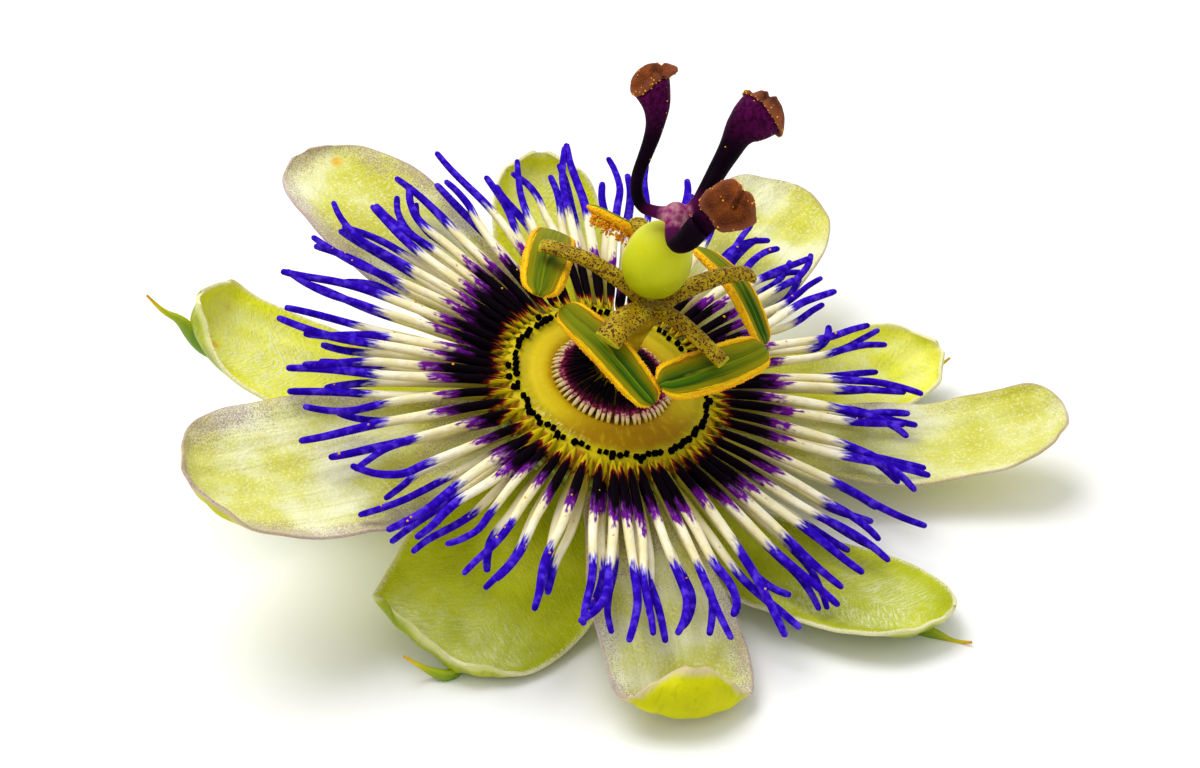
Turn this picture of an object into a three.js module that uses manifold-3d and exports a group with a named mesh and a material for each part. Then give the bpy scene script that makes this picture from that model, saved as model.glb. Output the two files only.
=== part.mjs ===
// A blue passion flower, picked with a short piece of its stalk and laid on its back.
// Millimetres, +Z up. The surface it lies on is Z = 0 and the origin is the centre of the
// flower's box at that height. +X is to the right and +Y is away from the viewer.
//
// Everything is shaped in the flower's own frame first: its z is the flower's axis, its
// origin is the middle of the disc at the height of the ring of dots, and angles run
// anticlockwise from the petal on the right.

import * as THREE from 'three';
import { mergeVertices } from 'three/addons/utils/BufferGeometryUtils.js';
import Module from 'manifold-3d';

const wasm = await Module();
wasm.setup();

// How the flower lies
const DISC_HEIGHT = 13.0; // disc's middle above the surface
const LEAN = THREE.MathUtils.degToRad(17.4); // axis off the upright
const LEAN_TOWARDS = THREE.MathUtils.degToRad(-33.3); // direction that the axis leans in
const SPIN = THREE.MathUtils.degToRad(-12.6); // turn of the flower about its own axis
const SHIFT_X = -0.3; // moves the box's middle to the origin
const SHIFT_Y = -1.61;

// Receptacle, which is the green cup under the flower, and its stalk
const CUP_TOP = -2.2; // height of the cup's flat top under the disc
const CUP_LIP_R = 11.2;
const CUP_LIP_TOP = -1.8;
const CUP_LIP_UNDER = -2.53;
const CUP_WALL_R = 9.2;
const CUP_BOTTOM = -9.3;
const STALK_R = 1.35;
const STALK_END = [-4.1, 12.4]; // where its cut end lies on the surface

// Disc, which swells inside the ring of dots and has a hollow for the nectar in its middle
const DISC_R = 10.1;
const DISC_BOTTOM = -1.88;
const SWELL_R = 6.4;
const SWELL_TOP = 0.55;
const LEDGE_TOP = 0.05; // carries the fringe
const NECTAR_FLOOR = -1.5;
const DOT_RING_R = 8.75;
const DOTS = 46;
const DOT_R = 0.38;

// Fringe round the column
const FRINGE_R = 5.45;
const FRINGE_TIP_R = 2.3;
const FRINGE_TEETH = 30;

// Corona, two ranks of long filaments
const CORONA_ROOT_R = 10.9;
const CORONA_REACH = 30.2;
const FILAMENTS = 44; // in each rank
const CORONA_RANKS = {
  corona_upper: {
    height: 0.15, thickness: 0.75, reach: CORONA_REACH, steps: 4, seed: 11, offset: 0,
  },
  corona_lower: {
    height: -1.15, thickness: 0.65, reach: CORONA_REACH - 1.6, steps: 3, seed: 23, offset: 0.5,
  },
};

// Petals and sepals
const PETAL_THICKNESS = 0.7;
const SEPAL_THICKNESS = 0.8;
const SEPAL_KEEL = 0.7;
const ROOT_R = CUP_WALL_R + 0.42;
const ROOT_HALF = 4.7; // half width where the blade leaves the cup, at most
const PETAL_ROOT = [ROOT_R, -3.25];
const SEPAL_ROOT = [ROOT_R, -4.8];

// Column, stamens, ovary and styles
const COLUMN_TOP = new THREE.Vector3(0.9, 0, 10.9);
const COLUMN_R = 1.1;
const OVARY_RX = 3.0;
const OVARY_RZ = 3.8;
const OVARY_MIDDLE = new THREE.Vector3(0.1, 0.0, 15.7);

const COLOURS = {
  receptacle: 0x8fa33a,
  disc: 0xc9b81e,
  fringe: 0x3a0f3a,
  petal: 0xd3d79a,
  sepal: 0xa8b92c,
  corona: 0x5a4ac0,
  stamen: 0xa39a35,
  anther: 0x8a9a22,
  ovary: 0xb4cc1c,
  style: 0x2c0a24,
  stigma: 0x8a4a1c,
};

// A repeatable draw between 0 and 1
function seeded(seed) {
  let state = seed;
  return () => {
    state = (state * 1664525 + 1013904223) % 4294967296;
    return state / 4294967296;
  };
}

function smooth(from, to, x) {
  const t = THREE.MathUtils.clamp((x - from) / (to - from), 0, 1);
  return t * t * (3 - 2 * t);
}

// Point at radius r, angle in degrees and height h in the flower's frame
function polar(r, degrees, h) {
  const a = THREE.MathUtils.degToRad(degrees);
  return new THREE.Vector3(r * Math.cos(a), r * Math.sin(a), h);
}

function geometryFrom(points, triangles) {
  const geometry = new THREE.BufferGeometry();
  const flat = points.flatMap((p) => [p.x, p.y, p.z]);
  geometry.setAttribute('position', new THREE.Float32BufferAttribute(flat, 3));
  geometry.setIndex(triangles);
  return geometry;
}

// Only positions, with the vertices shared, as a closed body needs
function welded(geometry) {
  const bare = geometry.clone();
  bare.deleteAttribute('normal');
  bare.deleteAttribute('uv');
  return mergeVertices(bare, 1e-4);
}

function toSolid(geometry) {
  const bare = welded(geometry);
  return new wasm.Manifold(new wasm.Mesh({
    numProp: 3,
    vertProperties: new Float32Array(bare.attributes.position.array),
    triVerts: new Uint32Array(bare.index.array),
  }));
}

function toGeometry(solid) {
  const mesh = solid.getMesh();
  const geometry = new THREE.BufferGeometry();
  geometry.setAttribute('position', new THREE.BufferAttribute(new Float32Array(mesh.vertProperties), 3));
  geometry.setIndex(new THREE.BufferAttribute(new Uint32Array(mesh.triVerts), 1));
  return geometry;
}

function fused(geometries) {
  let solid = toSolid(geometries[0]);
  for (const geometry of geometries.slice(1)) {
    solid = solid.add(toSolid(geometry));
  }
  return toGeometry(solid);
}

// A stem-like body: a cylinder whose rings are laid along a curve. radii gives the half width
// and half thickness at each of its own points, and up is the direction of the thickness.
function stem(path, radii, sides, steps, up) {
  const curve = new THREE.CatmullRomCurve3(path, false, 'centripetal');
  const cylinder = new THREE.CylinderGeometry(1, 1, 1, sides, steps);
  const position = cylinder.attributes.position;
  const radiusCurve = new THREE.SplineCurve(radii.map(([a, b]) => new THREE.Vector2(a, b)));
  for (let i = 0; i < position.count; i++) {
    const along = THREE.MathUtils.clamp(position.getY(i) + 0.5, 0, 1);
    const centre = curve.getPointAt(along);
    const tangent = curve.getTangentAt(along);
    const side = new THREE.Vector3().crossVectors(tangent, up).normalize();
    const normal = new THREE.Vector3().crossVectors(side, tangent).normalize();
    const radius = radiusCurve.getPoint(along);
    centre.addScaledVector(side, position.getX(i) * radius.x);
    centre.addScaledVector(normal, position.getZ(i) * radius.y);
    position.setXYZ(i, centre.x, centre.y, centre.z);
  }
  return outward(welded(cylinder));
}

// Turns the triangles over if the body came out inside out
function outward(geometry) {
  const p = geometry.attributes.position;
  const index = geometry.index.array;
  const a = new THREE.Vector3();
  const b = new THREE.Vector3();
  const c = new THREE.Vector3();
  let volume = 0;
  for (let i = 0; i < index.length; i += 3) {
    a.fromBufferAttribute(p, index[i]);
    b.fromBufferAttribute(p, index[i + 1]);
    c.fromBufferAttribute(p, index[i + 2]);
    volume += a.dot(b.cross(c));
  }
  if (volume < 0) {
    for (let i = 0; i < index.length; i += 3) {
      [index[i + 1], index[i + 2]] = [index[i + 2], index[i + 1]];
    }
  }
  return geometry;
}

// A blade is a grid of middle points given a thickness. Both faces have the same triangles.
function blade(middle, thicknessAt) {
  const rows = middle.length;
  const columns = middle[0].length;
  const points = [];
  const normals = middle.map((row, i) => row.map((_, j) => {
    const alongA = middle[Math.max(i - 1, 0)][j];
    const alongB = middle[Math.min(i + 1, rows - 1)][j];
    const acrossA = row[Math.max(j - 1, 0)];
    const acrossB = row[Math.min(j + 1, columns - 1)];
    const along = new THREE.Vector3().subVectors(alongB, alongA);
    const across = new THREE.Vector3().subVectors(acrossB, acrossA);
    return along.cross(across).normalize();
  }));
  for (const face of [0, 1]) {
    for (let i = 0; i < rows; i++) {
      for (let j = 0; j < columns; j++) {
        const depth = face === 0 ? PETAL_THICKNESS / 2 : PETAL_THICKNESS / 2 - thicknessAt(i, j);
        points.push(middle[i][j].clone().addScaledVector(normals[i][j], depth));
      }
    }
  }
  const top = (i, j) => i * columns + j;
  const under = (i, j) => rows * columns + i * columns + j;
  const triangles = [];
  for (let i = 0; i < rows - 1; i++) {
    for (let j = 0; j < columns - 1; j++) {
      const flip = j < (columns - 1) / 2;
      const [a, b, c, d] = [top(i, j), top(i + 1, j), top(i + 1, j + 1), top(i, j + 1)];
      const [e, f, g, h] = [under(i, j), under(i + 1, j), under(i + 1, j + 1), under(i, j + 1)];
      if (flip) {
        triangles.push(a, b, c, a, c, d, e, g, f, e, h, g);
      } else {
        triangles.push(a, b, d, b, c, d, e, h, f, f, h, g);
      }
    }
  }
  const rim = [];
  for (let j = 0; j < columns - 1; j++) rim.push([0, j, 0, j + 1]);
  for (let i = 0; i < rows - 1; i++) rim.push([i, columns - 1, i + 1, columns - 1]);
  for (let j = columns - 1; j > 0; j--) rim.push([rows - 1, j, rows - 1, j - 1]);
  for (let i = rows - 1; i > 0; i--) rim.push([i, 0, i - 1, 0]);
  for (const [i0, j0, i1, j1] of rim) {
    triangles.push(top(i0, j0), top(i1, j1), under(i1, j1));
    triangles.push(top(i0, j0), under(i1, j1), under(i0, j0));
  }
  return outward(geometryFrom(points, triangles));
}

// Petals and sepals. at is the angle of the tip and swing what the root has more than that.
// middle is the rib's radius and height from root to tip, half the half width on each side,
// the clockwise one first, and cup the bend across it in degrees at the root and at the tip.
// full says how far along the blade keeps its width on each side. awn is the radius, the
// height and the sideways place of the end of a sepal's horn.
const TEPALS = {
  petal_1: {
    at: 152, swing: 0, half: [7.2, 7.2], cup: [2, 28], full: [0.6, 0.6],
    middle: [PETAL_ROOT, [20, -3.1], [30, -3.5], [37, -4.0], [39.4, -3.4]],
  },
  petal_2: {
    at: 74, swing: 0, half: [6.7, 6.7], cup: [2, 30], full: [0.6, 0.6],
    middle: [PETAL_ROOT, [20, -3.1], [31, -3.5], [38, -3.8], [40.4, -2.8]],
  },
  petal_3: {
    at: 17, swing: 0, half: [5.6, 4.8], cup: [2, 34], full: [0.75, 0.85],
    middle: [PETAL_ROOT, [20, -3.1], [28, -3.0], [33, -1.6], [38, 0.8], [41, 2.8], [42.2, 4.1]],
  },
  petal_4: {
    at: 296.5, swing: 0, half: [6.6, 6.6], cup: [2, 36], full: [0.6, 0.6],
    middle: [PETAL_ROOT, [18, -3.1], [27, -3.6], [32.6, -4.8], [34.8, -3.4], [34.3, -0.8], [32.8, 0.4]],
  },
  petal_5: {
    at: 223.5, swing: 0, half: [8.2, 8.4], cup: [2, 32], full: [0.6, 0.6],
    middle: [PETAL_ROOT, [20, -3.2], [32, -3.0], [39.5, -2.0], [42.3, 0.4]],
  },
  sepal_1: {
    at: 187, swing: 7, half: [6.0, 6.8], cup: [4, 48], full: [0.8, 0.5], awn: [41.8, -3.9, 0.6],
    middle: [SEPAL_ROOT, [18, -6.6], [28, -7.6], [33.6, -7.3], [36.6, -5.7], [37.6, -3.2]],
  },
  sepal_2: {
    at: 115, swing: 0, half: [5.9, 5.9], cup: [4, 50], full: [0.6, 0.6], awn: [34.4, -5.4, 0],
    middle: [SEPAL_ROOT, [18, -6.0], [27, -5.6], [31.5, -4.2], [33.0, -2.4]],
  },
  sepal_3: {
    at: 39, swing: 0, half: [5.9, 5.9], cup: [4, 50], full: [0.6, 0.6], awn: [38.2, -4.2, 0],
    middle: [SEPAL_ROOT, [18, -6.0], [29, -6.0], [35, -4.6], [36.8, -2.8]],
  },
  sepal_4: {
    at: 338, swing: -7, half: [7.0, 5.8], cup: [4, 30], full: [0.65, 0.6], awn: [39.6, -0.8, 0.4],
    middle: [SEPAL_ROOT, [18, -5.5], [27, -3.9], [32, -2.3], [35.6, -0.7], [37.1, 0.9]],
  },
  sepal_5: {
    at: 262, swing: 0, half: [9.5, 8.7], cup: [4, 26], full: [0.9, 0.25], awn: [31.0, -9.9, -4.4],
    middle: [SEPAL_ROOT, [16, -6.8], [22, -9.4], [26.8, -10.5], [28.9, -10.2], [29.9, -9.1]],
  },
};
const TEPAL_ROWS = 13;
const TEPAL_COLUMNS = 7;

function halfWidth(t, half, full) {
  const neck = Math.min(0.66, ROOT_HALF / half);
  const body = neck + (1 - neck) * smooth(0, 0.5, t);
  const x = THREE.MathUtils.clamp((t - full) / (1 - full), 0, 1);
  return half * body * Math.sqrt(Math.max(1 - Math.pow(x, 2.6), 0.03));
}

// Point of the blade: t runs from root to tip and s from -1 to 1 across it
function tepalPoint(tepal, curve, t, s) {
  const mid = curve.getPointAt(t);
  const tangent = curve.getTangentAt(t);
  const at = tepal.at + tepal.swing * (1 - t);
  const radial = polar(1, at, 0);
  const side = polar(1, at + 90, 0);
  const axis = new THREE.Vector3(0, 0, 1);
  const normal = radial.clone().multiplyScalar(-tangent.y).addScaledVector(axis, tangent.x);
  const cup = THREE.MathUtils.lerp(tepal.cup[0], tepal.cup[1], smooth(0.3, 0.95, t));
  const bend = THREE.MathUtils.degToRad(cup);
  const hand = s < 0 ? 0 : 1;
  const width = halfWidth(t, tepal.half[hand], tepal.full[hand]);
  const sideways = width * Math.sin(bend * s) / bend;
  // the root follows the round wall of the cup
  const sag = (ROOT_R - Math.sqrt(Math.max(ROOT_R ** 2 - sideways ** 2, 0))) * (1 - smooth(0, 0.25, t));
  return radial.clone().multiplyScalar(mid.x - sag)
    .addScaledVector(axis, mid.y)
    .addScaledVector(side, sideways)
    .addScaledVector(normal, width * (1 - Math.cos(bend * s)) / bend);
}

// The horn on a sepal's keel, close under its tip
function awnGeometry(tepal, curve) {
  const under = (t, depth) => {
    const mid = curve.getPointAt(t);
    const tangent = curve.getTangentAt(t);
    const at = tepal.at + tepal.swing * (1 - t);
    return polar(mid.x + tangent.y * depth, at, mid.y - tangent.x * depth);
  };
  const [r, h, aside] = tepal.awn;
  const end = polar(r, tepal.at, h).add(polar(aside, tepal.at + 90, 0));
  const path = [under(0.76, 0.7), under(0.85, 1.2), under(0.91, 1.3).lerp(end, 0.12), end];
  return stem(path, [[0.5, 0.6], [0.7, 0.8], [0.55, 0.65], [0.3, 0.3]], 6, 4, new THREE.Vector3(0, 0, 1));
}

function tepalGeometry(name) {
  const tepal = TEPALS[name];
  const isSepal = name.startsWith('sepal');
  const curve = new THREE.SplineCurve(tepal.middle.map(([r, h]) => new THREE.Vector2(r, h)));
  const middle = [];
  for (let i = 0; i < TEPAL_ROWS; i++) {
    // rows come closer together towards the round tip
    const t = Math.sin((i / (TEPAL_ROWS - 1)) * Math.PI / 2) ** 1.15;
    const row = [];
    for (let j = 0; j < TEPAL_COLUMNS; j++) {
      row.push(tepalPoint(tepal, curve, t, (2 * j) / (TEPAL_COLUMNS - 1) - 1));
    }
    middle.push(row);
  }
  if (!isSepal) return blade(middle, () => PETAL_THICKNESS);
  const rib = (TEPAL_COLUMNS - 1) / 2;
  const scale = blade(middle, (i, j) => (j === rib ? SEPAL_THICKNESS + SEPAL_KEEL : SEPAL_THICKNESS));
  return fused([scale, awnGeometry(tepal, curve)]);
}

// The long filaments of one rank, fused to the ring that they grow from
function coronaRank({ height, thickness, reach, steps, seed, offset }) {
  const draw = seeded(seed);
  const ring = new THREE.LatheGeometry([
    [10.45, -0.4], [11.7, -0.4], [11.7, 0.4], [10.45, 0.4], [10.45, -0.4],
  ].map(([r, h]) => new THREE.Vector2(r, h * thickness)), 40);
  ring.rotateX(Math.PI / 2);
  ring.translate(0, 0, height);
  const pieces = [outward(welded(ring))];
  for (let i = 0; i < FILAMENTS; i++) {
    const at = (i + offset + (draw() - 0.5) * 0.25) * 360 / FILAMENTS;
    const tip = reach + (draw() - 0.5) * 3.4;
    const swing = (draw() - 0.5) * 4.5;
    const rise = draw();
    const path = [
      polar(CORONA_ROOT_R, at, height),
      polar(16.5, at, height + 0.15),
      polar(22, at, height + 0.25 * rise),
      polar(tip - 3.5, at + swing * 0.35, height + 0.3 * rise),
      polar(tip, at + swing, height + 0.3 * rise),
    ];
    const half = thickness / 2;
    const radii = [[0.52, half], [0.62, half], [0.55, half], [0.46, half * 0.9], [0.36, half * 0.75]];
    pieces.push(stem(path, radii, 4, steps, new THREE.Vector3(0, 0, 1)));
  }
  return fused(pieces);
}

// Disc with its swelling, and the ring of dots raised from it
function discGeometry() {
  const profile = [
    [0, DISC_BOTTOM], [DISC_R, DISC_BOTTOM], [DISC_R, -0.15], [9.4, 0.02], [DOT_RING_R, 0], [8.2, -0.06],
    [7.3, 0.3], [SWELL_R, SWELL_TOP], [6.08, LEDGE_TOP], [4.5, LEDGE_TOP], [4.1, NECTAR_FLOOR],
    [0, NECTAR_FLOOR],
  ];
  const disc = new THREE.LatheGeometry(profile.map(([r, h]) => new THREE.Vector2(r, h)), 32);
  disc.rotateX(Math.PI / 2);
  const pieces = [outward(welded(disc))];
  const draw = seeded(41);
  const knob = (r, at) => {
    const dot = new THREE.CylinderGeometry(DOT_R, DOT_R * 0.9, 1.2, 4);
    dot.rotateX(Math.PI / 2);
    dot.rotateZ(draw() * 6.28);
    const p = polar(r, at, 0.05 + draw() * 0.12);
    dot.translate(p.x, p.y, p.z);
    return dot;
  };
  for (let i = 0; i < DOTS; i++) {
    pieces.push(knob(DOT_RING_R + (draw() - 0.5) * 0.36, (i + 0.25 * draw()) * 360 / DOTS));
  }
  for (const at of [196, 204, 212, 231, 248, 284, 300]) {
    pieces.push(knob(9.5, at));
  }
  return fused(pieces);
}

// The fringe leans in over the nectar, from its ledge to the column
function fringeGeometry() {
  const ring = new THREE.LatheGeometry([
    [4.75, 0], [5.7, 0], [5.7, 0.45], [4.75, 0.45], [4.75, 0],
  ].map(([r, h]) => new THREE.Vector2(r, h + LEDGE_TOP + 0.33)), FRINGE_TEETH);
  ring.rotateX(Math.PI / 2);
  const pieces = [outward(welded(ring))];
  const draw = seeded(7);
  for (let i = 0; i < FRINGE_TEETH; i++) {
    const at = (i + 0.3 * draw()) * 360 / FRINGE_TEETH;
    const rise = 0.5 + 0.5 * draw();
    const path = [
      polar(FRINGE_R, at, LEDGE_TOP + 0.64),
      polar(4.5, at, 1.05),
      polar(3.4, at, 1.3 + 0.3 * rise),
      polar(FRINGE_TIP_R, at, 1.3 + rise),
    ];
    pieces.push(stem(path, [[0.3, 0.3], [0.28, 0.28], [0.2, 0.22]], 3, 3, new THREE.Vector3(0, 0, 1)));
  }
  return fused(pieces);
}

// Places a body of the flower's frame in the part's frame
const place = new THREE.Matrix4().makeTranslation(SHIFT_X, SHIFT_Y, DISC_HEIGHT)
  .multiply(new THREE.Matrix4().makeRotationAxis(
    new THREE.Vector3(-Math.sin(LEAN_TOWARDS), Math.cos(LEAN_TOWARDS), 0), LEAN))
  .multiply(new THREE.Matrix4().makeRotationZ(SPIN));

function inPlace(geometry) {
  return geometry.clone().applyMatrix4(place);
}

// Cuts off what would reach below the surface, which leaves a small flat spot
function restedOnSurface(geometry) {
  const ground = new THREE.BoxGeometry(200, 200, 20);
  ground.translate(0, 0, -10);
  return toGeometry(toSolid(geometry).subtract(toSolid(ground)));
}

function receptacleGeometry() {
  const profile = [
    [0, CUP_BOTTOM], [1.5, CUP_BOTTOM + 0.05], [3.4, CUP_BOTTOM + 0.4], [6.0, CUP_BOTTOM + 1.5],
    [8.1, -6.4], [CUP_WALL_R, -5.0], [CUP_WALL_R, CUP_LIP_UNDER], [CUP_LIP_R, CUP_LIP_UNDER + 0.08],
    [CUP_LIP_R, CUP_LIP_TOP], [DISC_R + 0.4, CUP_LIP_TOP], [DISC_R + 0.4, CUP_TOP], [0, CUP_TOP],
  ];
  const cup = new THREE.LatheGeometry(profile.map(([r, h]) => new THREE.Vector2(r, h)), 28);
  cup.rotateX(Math.PI / 2);
  const root = new THREE.Vector3(0, 0, CUP_BOTTOM + 1.5).applyMatrix4(place);
  const neck = new THREE.Vector3(0.1, 0.3, CUP_BOTTOM - 0.5).applyMatrix4(place);
  const end = new THREE.Vector3(STALK_END[0], STALK_END[1], STALK_R - 0.12);
  const knee = new THREE.Vector3().lerpVectors(neck, end, 0.45);
  knee.z = STALK_R + 0.35;
  const stalk = stem([root, neck, knee, end], [[STALK_R, STALK_R], [STALK_R, STALK_R]], 10, 9,
    new THREE.Vector3(1, 0, 0));
  return restedOnSurface(fused([outward(welded(inPlace(cup))), stalk]));
}

const STAMENS = {
  1: {
    path: [[0.6, 0, 10.3], [-1.6, 0.3, 11.3], [-5.2, 0.9, 11.9], [-8.6, 1.3, 11.6], [-9.9, 1.4, 11.2]],
    radii: [[0.9, 0.7], [0.85, 0.62], [0.85, 0.45]],
  },
  2: {
    path: [[0.9, -0.4, 10.2], [0.1, -2.4, 11.1], [-0.9, -4.6, 11.2], [-1.6, -6.5, 10.4]],
    radii: [[0.9, 0.7], [1.35, 0.6], [1.3, 0.45]],
  },
  3: {
    path: [[1.2, -0.3, 10.3], [3.3, -1.6, 11.2], [6.0, -3.0, 11.1], [8.6, -4.0, 10.4]],
    radii: [[0.9, 0.7], [0.85, 0.6], [0.85, 0.45]],
  },
  4: {
    path: [[1.3, 0.2, 10.3], [3.2, 2.0, 11.5], [5.8, 4.6, 12.2], [7.9, 6.4, 12.0], [8.5, 6.9, 11.4]],
    radii: [[0.9, 0.7], [0.9, 0.62], [0.85, 0.45]],
  },
  5: {
    path: [[0.7, 0.6, 10.3], [-0.1, 3.0, 11.3], [-1.5, 6.6, 11.7], [-2.7, 9.0, 11.3]],
    radii: [[0.9, 0.7], [0.9, 0.62], [0.85, 0.45]],
  },
};

function androgynophoreGeometry() {
  const up = new THREE.Vector3(0, 0, 1);
  const foot = new THREE.Vector3(0, 0, NECTAR_FLOOR + 0.38);
  const middle = new THREE.Vector3(0.25, 0, 5);
  const columnRadii = [[1.5, 1.5], [COLUMN_R, COLUMN_R], [COLUMN_R, COLUMN_R], [1.5, 1.5]];
  const column = stem([foot, middle, COLUMN_TOP], columnRadii, 9, 5, new THREE.Vector3(0, 1, 0));
  const pieces = [column];
  for (const { path, radii } of Object.values(STAMENS)) {
    pieces.push(stem(path.map((p) => new THREE.Vector3(...p)), radii, 7, 6, up));
  }
  return fused(pieces);
}

// Anthers: middle line from end to end, half width, half thickness and the way the back faces
const ANTHERS = {
  anther_1: {
    path: [[-9.2, 8.4, 7.2], [-9.0, 2.6, 9.5], [-8.5, -3.6, 10.2]], back: [0.0, 0.3, 1.0], half: 2.2,
  },
  anther_2: {
    path: [[-6.2, -2.6, 8.9], [-1.2, -5.9, 9.0], [4.0, -9.0, 7.75]], back: [-0.15, -0.5, 1.0], half: 1.7,
  },
  anther_3: {
    path: [[3.9, -8.3, 9.4], [8.0, -3.4, 8.9], [11.7, 1.4, 8.9]], back: [0.1, -0.3, 1.0], half: 2.1,
  },
  anther_4: {
    path: [[3.2, 10.4, 9.5], [7.6, 7.2, 9.5], [11.6, 3.6, 7.4]], back: [0.5, 0.1, 0.85], half: 1.9,
  },
  anther_5: {
    path: [[-7.4, 10.3, 9.8], [-3.0, 9.8, 9.4], [1.6, 9.4, 9.1]], back: [0.1, 0.7, 0.9], half: 1.8,
  },
};

function antherGeometry({ path, back, half }) {
  return stem(path.map((p) => new THREE.Vector3(...p)),
    [[half * 0.6, 0.4], [half * 0.95, 0.6], [half, 0.65], [half * 0.95, 0.6], [half * 0.6, 0.4]],
    8, 8, new THREE.Vector3(...back).normalize());
}

function ovaryGeometry() {
  const egg = new THREE.SphereGeometry(1, 14, 9);
  egg.rotateX(Math.PI / 2);
  egg.scale(OVARY_RX, OVARY_RX, OVARY_RZ);
  egg.translate(OVARY_MIDDLE.x, OVARY_MIDDLE.y, OVARY_MIDDLE.z);
  return outward(welded(egg));
}

const STIGMAS = {
  stigma_1: { at: [-5.5, 5.6, 29.4], face: [-0.74, 0.14, 0.66], size: [2.0, 1.9, 1.0] },
  stigma_2: { at: [4.4, 7.5, 28.5], face: [0.69, 0.43, 0.58], size: [2.6, 2.4, 1.15] },
  stigma_3: { at: [4.05, -1.75, 25.3], face: [0.19, -0.66, 0.71], size: [2.3, 2.3, 0.95] },
};
// Each style's points, then its half width at each of its own points. It ends under its stigma.
const STYLES = {
  stigma_1: {
    path: [
      [0.3, -0.1, 20.9], [-1.8, -0.1, 20.5], [-2.75, 0.0, 20.6], [-3.5, 0.4, 21.4], [-3.9, 0.9, 22.7],
      [-3.9, 1.8, 24.3], [-3.9, 2.8, 25.8], [-4.1, 3.7, 27.0], [-4.6, 4.6, 28.0],
    ],
    radii: [0.8, 0.55, 0.55, 0.56, 0.6, 0.65, 0.8, 1.1, 1.7],
  },
  stigma_2: {
    path: [
      [0.3, -0.1, 20.9], [1.1, 0.3, 21.2], [1.65, 1.0, 21.9], [2.0, 2.2, 22.8], [2.4, 4.2, 24.1],
      [2.7, 5.2, 25.4], [2.95, 6.1, 26.7], [3.4, 6.7, 27.5],
    ],
    radii: [0.8, 0.65, 0.75, 0.85, 1.0, 1.3, 1.7, 2.2],
  },
  stigma_3: {
    path: [
      [0.3, -0.1, 20.9], [0.6, -1.2, 20.5], [1.25, -2.3, 20.3], [1.9, -2.8, 21.4], [2.4, -2.7, 22.9],
      [3.0, -2.2, 24.1],
    ],
    radii: [0.8, 0.8, 0.9, 1.0, 1.1, 1.3, 1.7],
  },
};
const STIGMA_SEAT = 0.36; // clearance round each stigma

function stigmaGeometry({ at, face, size }, grow = 0) {
  const cap = new THREE.SphereGeometry(1, 12, 7);
  cap.rotateX(Math.PI / 2);
  cap.scale(size[0] + grow, size[1] + grow, size[2] + grow);
  const turn = new THREE.Quaternion();
  turn.setFromUnitVectors(new THREE.Vector3(0, 0, 1), new THREE.Vector3(...face).normalize());
  cap.applyQuaternion(turn);
  cap.translate(...at);
  return outward(welded(cap));
}

function stylesGeometry() {
  const knob = new THREE.SphereGeometry(1.15, 9, 6);
  knob.translate(0.3, -0.1, 20.98);
  let solid = toSolid(outward(welded(knob)));
  for (const [name, { path, radii }] of Object.entries(STYLES)) {
    const { at, face } = STIGMAS[name];
    const points = path.map((p) => new THREE.Vector3(...p));
    const head = new THREE.Vector3(...face).normalize().multiplyScalar(-1.0);
    points.push(head.add(new THREE.Vector3(...at)));
    const style = stem(points, radii.map((r) => [r, r]), 7, 9, new THREE.Vector3(0.2, 1, 0.1));
    solid = solid.add(toSolid(style));
  }
  // each head is hollowed where its stigma sits
  for (const stigma of Object.values(STIGMAS)) {
    solid = solid.subtract(toSolid(stigmaGeometry(stigma, STIGMA_SEAT)));
  }
  return toGeometry(solid);
}

const part = new THREE.Group();
part.name = 'passion_flower';

function add(name, geometry, color, roughness = 0.6) {
  geometry.computeVertexNormals();
  const mesh = new THREE.Mesh(geometry, new THREE.MeshStandardMaterial({ color, roughness, metalness: 0 }));
  mesh.name = name;
  part.add(mesh);
}

add('receptacle', receptacleGeometry(), COLOURS.receptacle);
add('disc', inPlace(discGeometry()), COLOURS.disc);
add('fringe', inPlace(fringeGeometry()), COLOURS.fringe);
for (const [name, rank] of Object.entries(CORONA_RANKS)) {
  add(name, inPlace(coronaRank(rank)), COLOURS.corona);
}
for (const name of Object.keys(TEPALS)) {
  const color = name.startsWith('petal') ? COLOURS.petal : COLOURS.sepal;
  add(name, restedOnSurface(inPlace(tepalGeometry(name))), color);
}
add('androgynophore', inPlace(androgynophoreGeometry()), COLOURS.stamen);
for (const [name, anther] of Object.entries(ANTHERS)) {
  add(name, inPlace(antherGeometry(anther)), COLOURS.anther);
}
add('ovary', inPlace(ovaryGeometry()), COLOURS.ovary, 0.4);
add('styles', inPlace(stylesGeometry()), COLOURS.style, 0.35);
for (const [name, stigma] of Object.entries(STIGMAS)) {
  add(name, inPlace(stigmaGeometry(stigma)), COLOURS.stigma);
}

export default part;
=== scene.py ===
# %% [markdown]
# A blue passion flower has been picked with a short piece of its stalk and laid on its back.
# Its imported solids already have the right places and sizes. This lesson models a finer piece
# over each of them, with the folds, grooves, teeth and grains that the solids are too coarse
# for, and mixes a material for each kind of tissue.

# %% Load the solids
import math
import random

import bpy
import numpy as np
from mathutils import Matrix, Vector, noise


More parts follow.
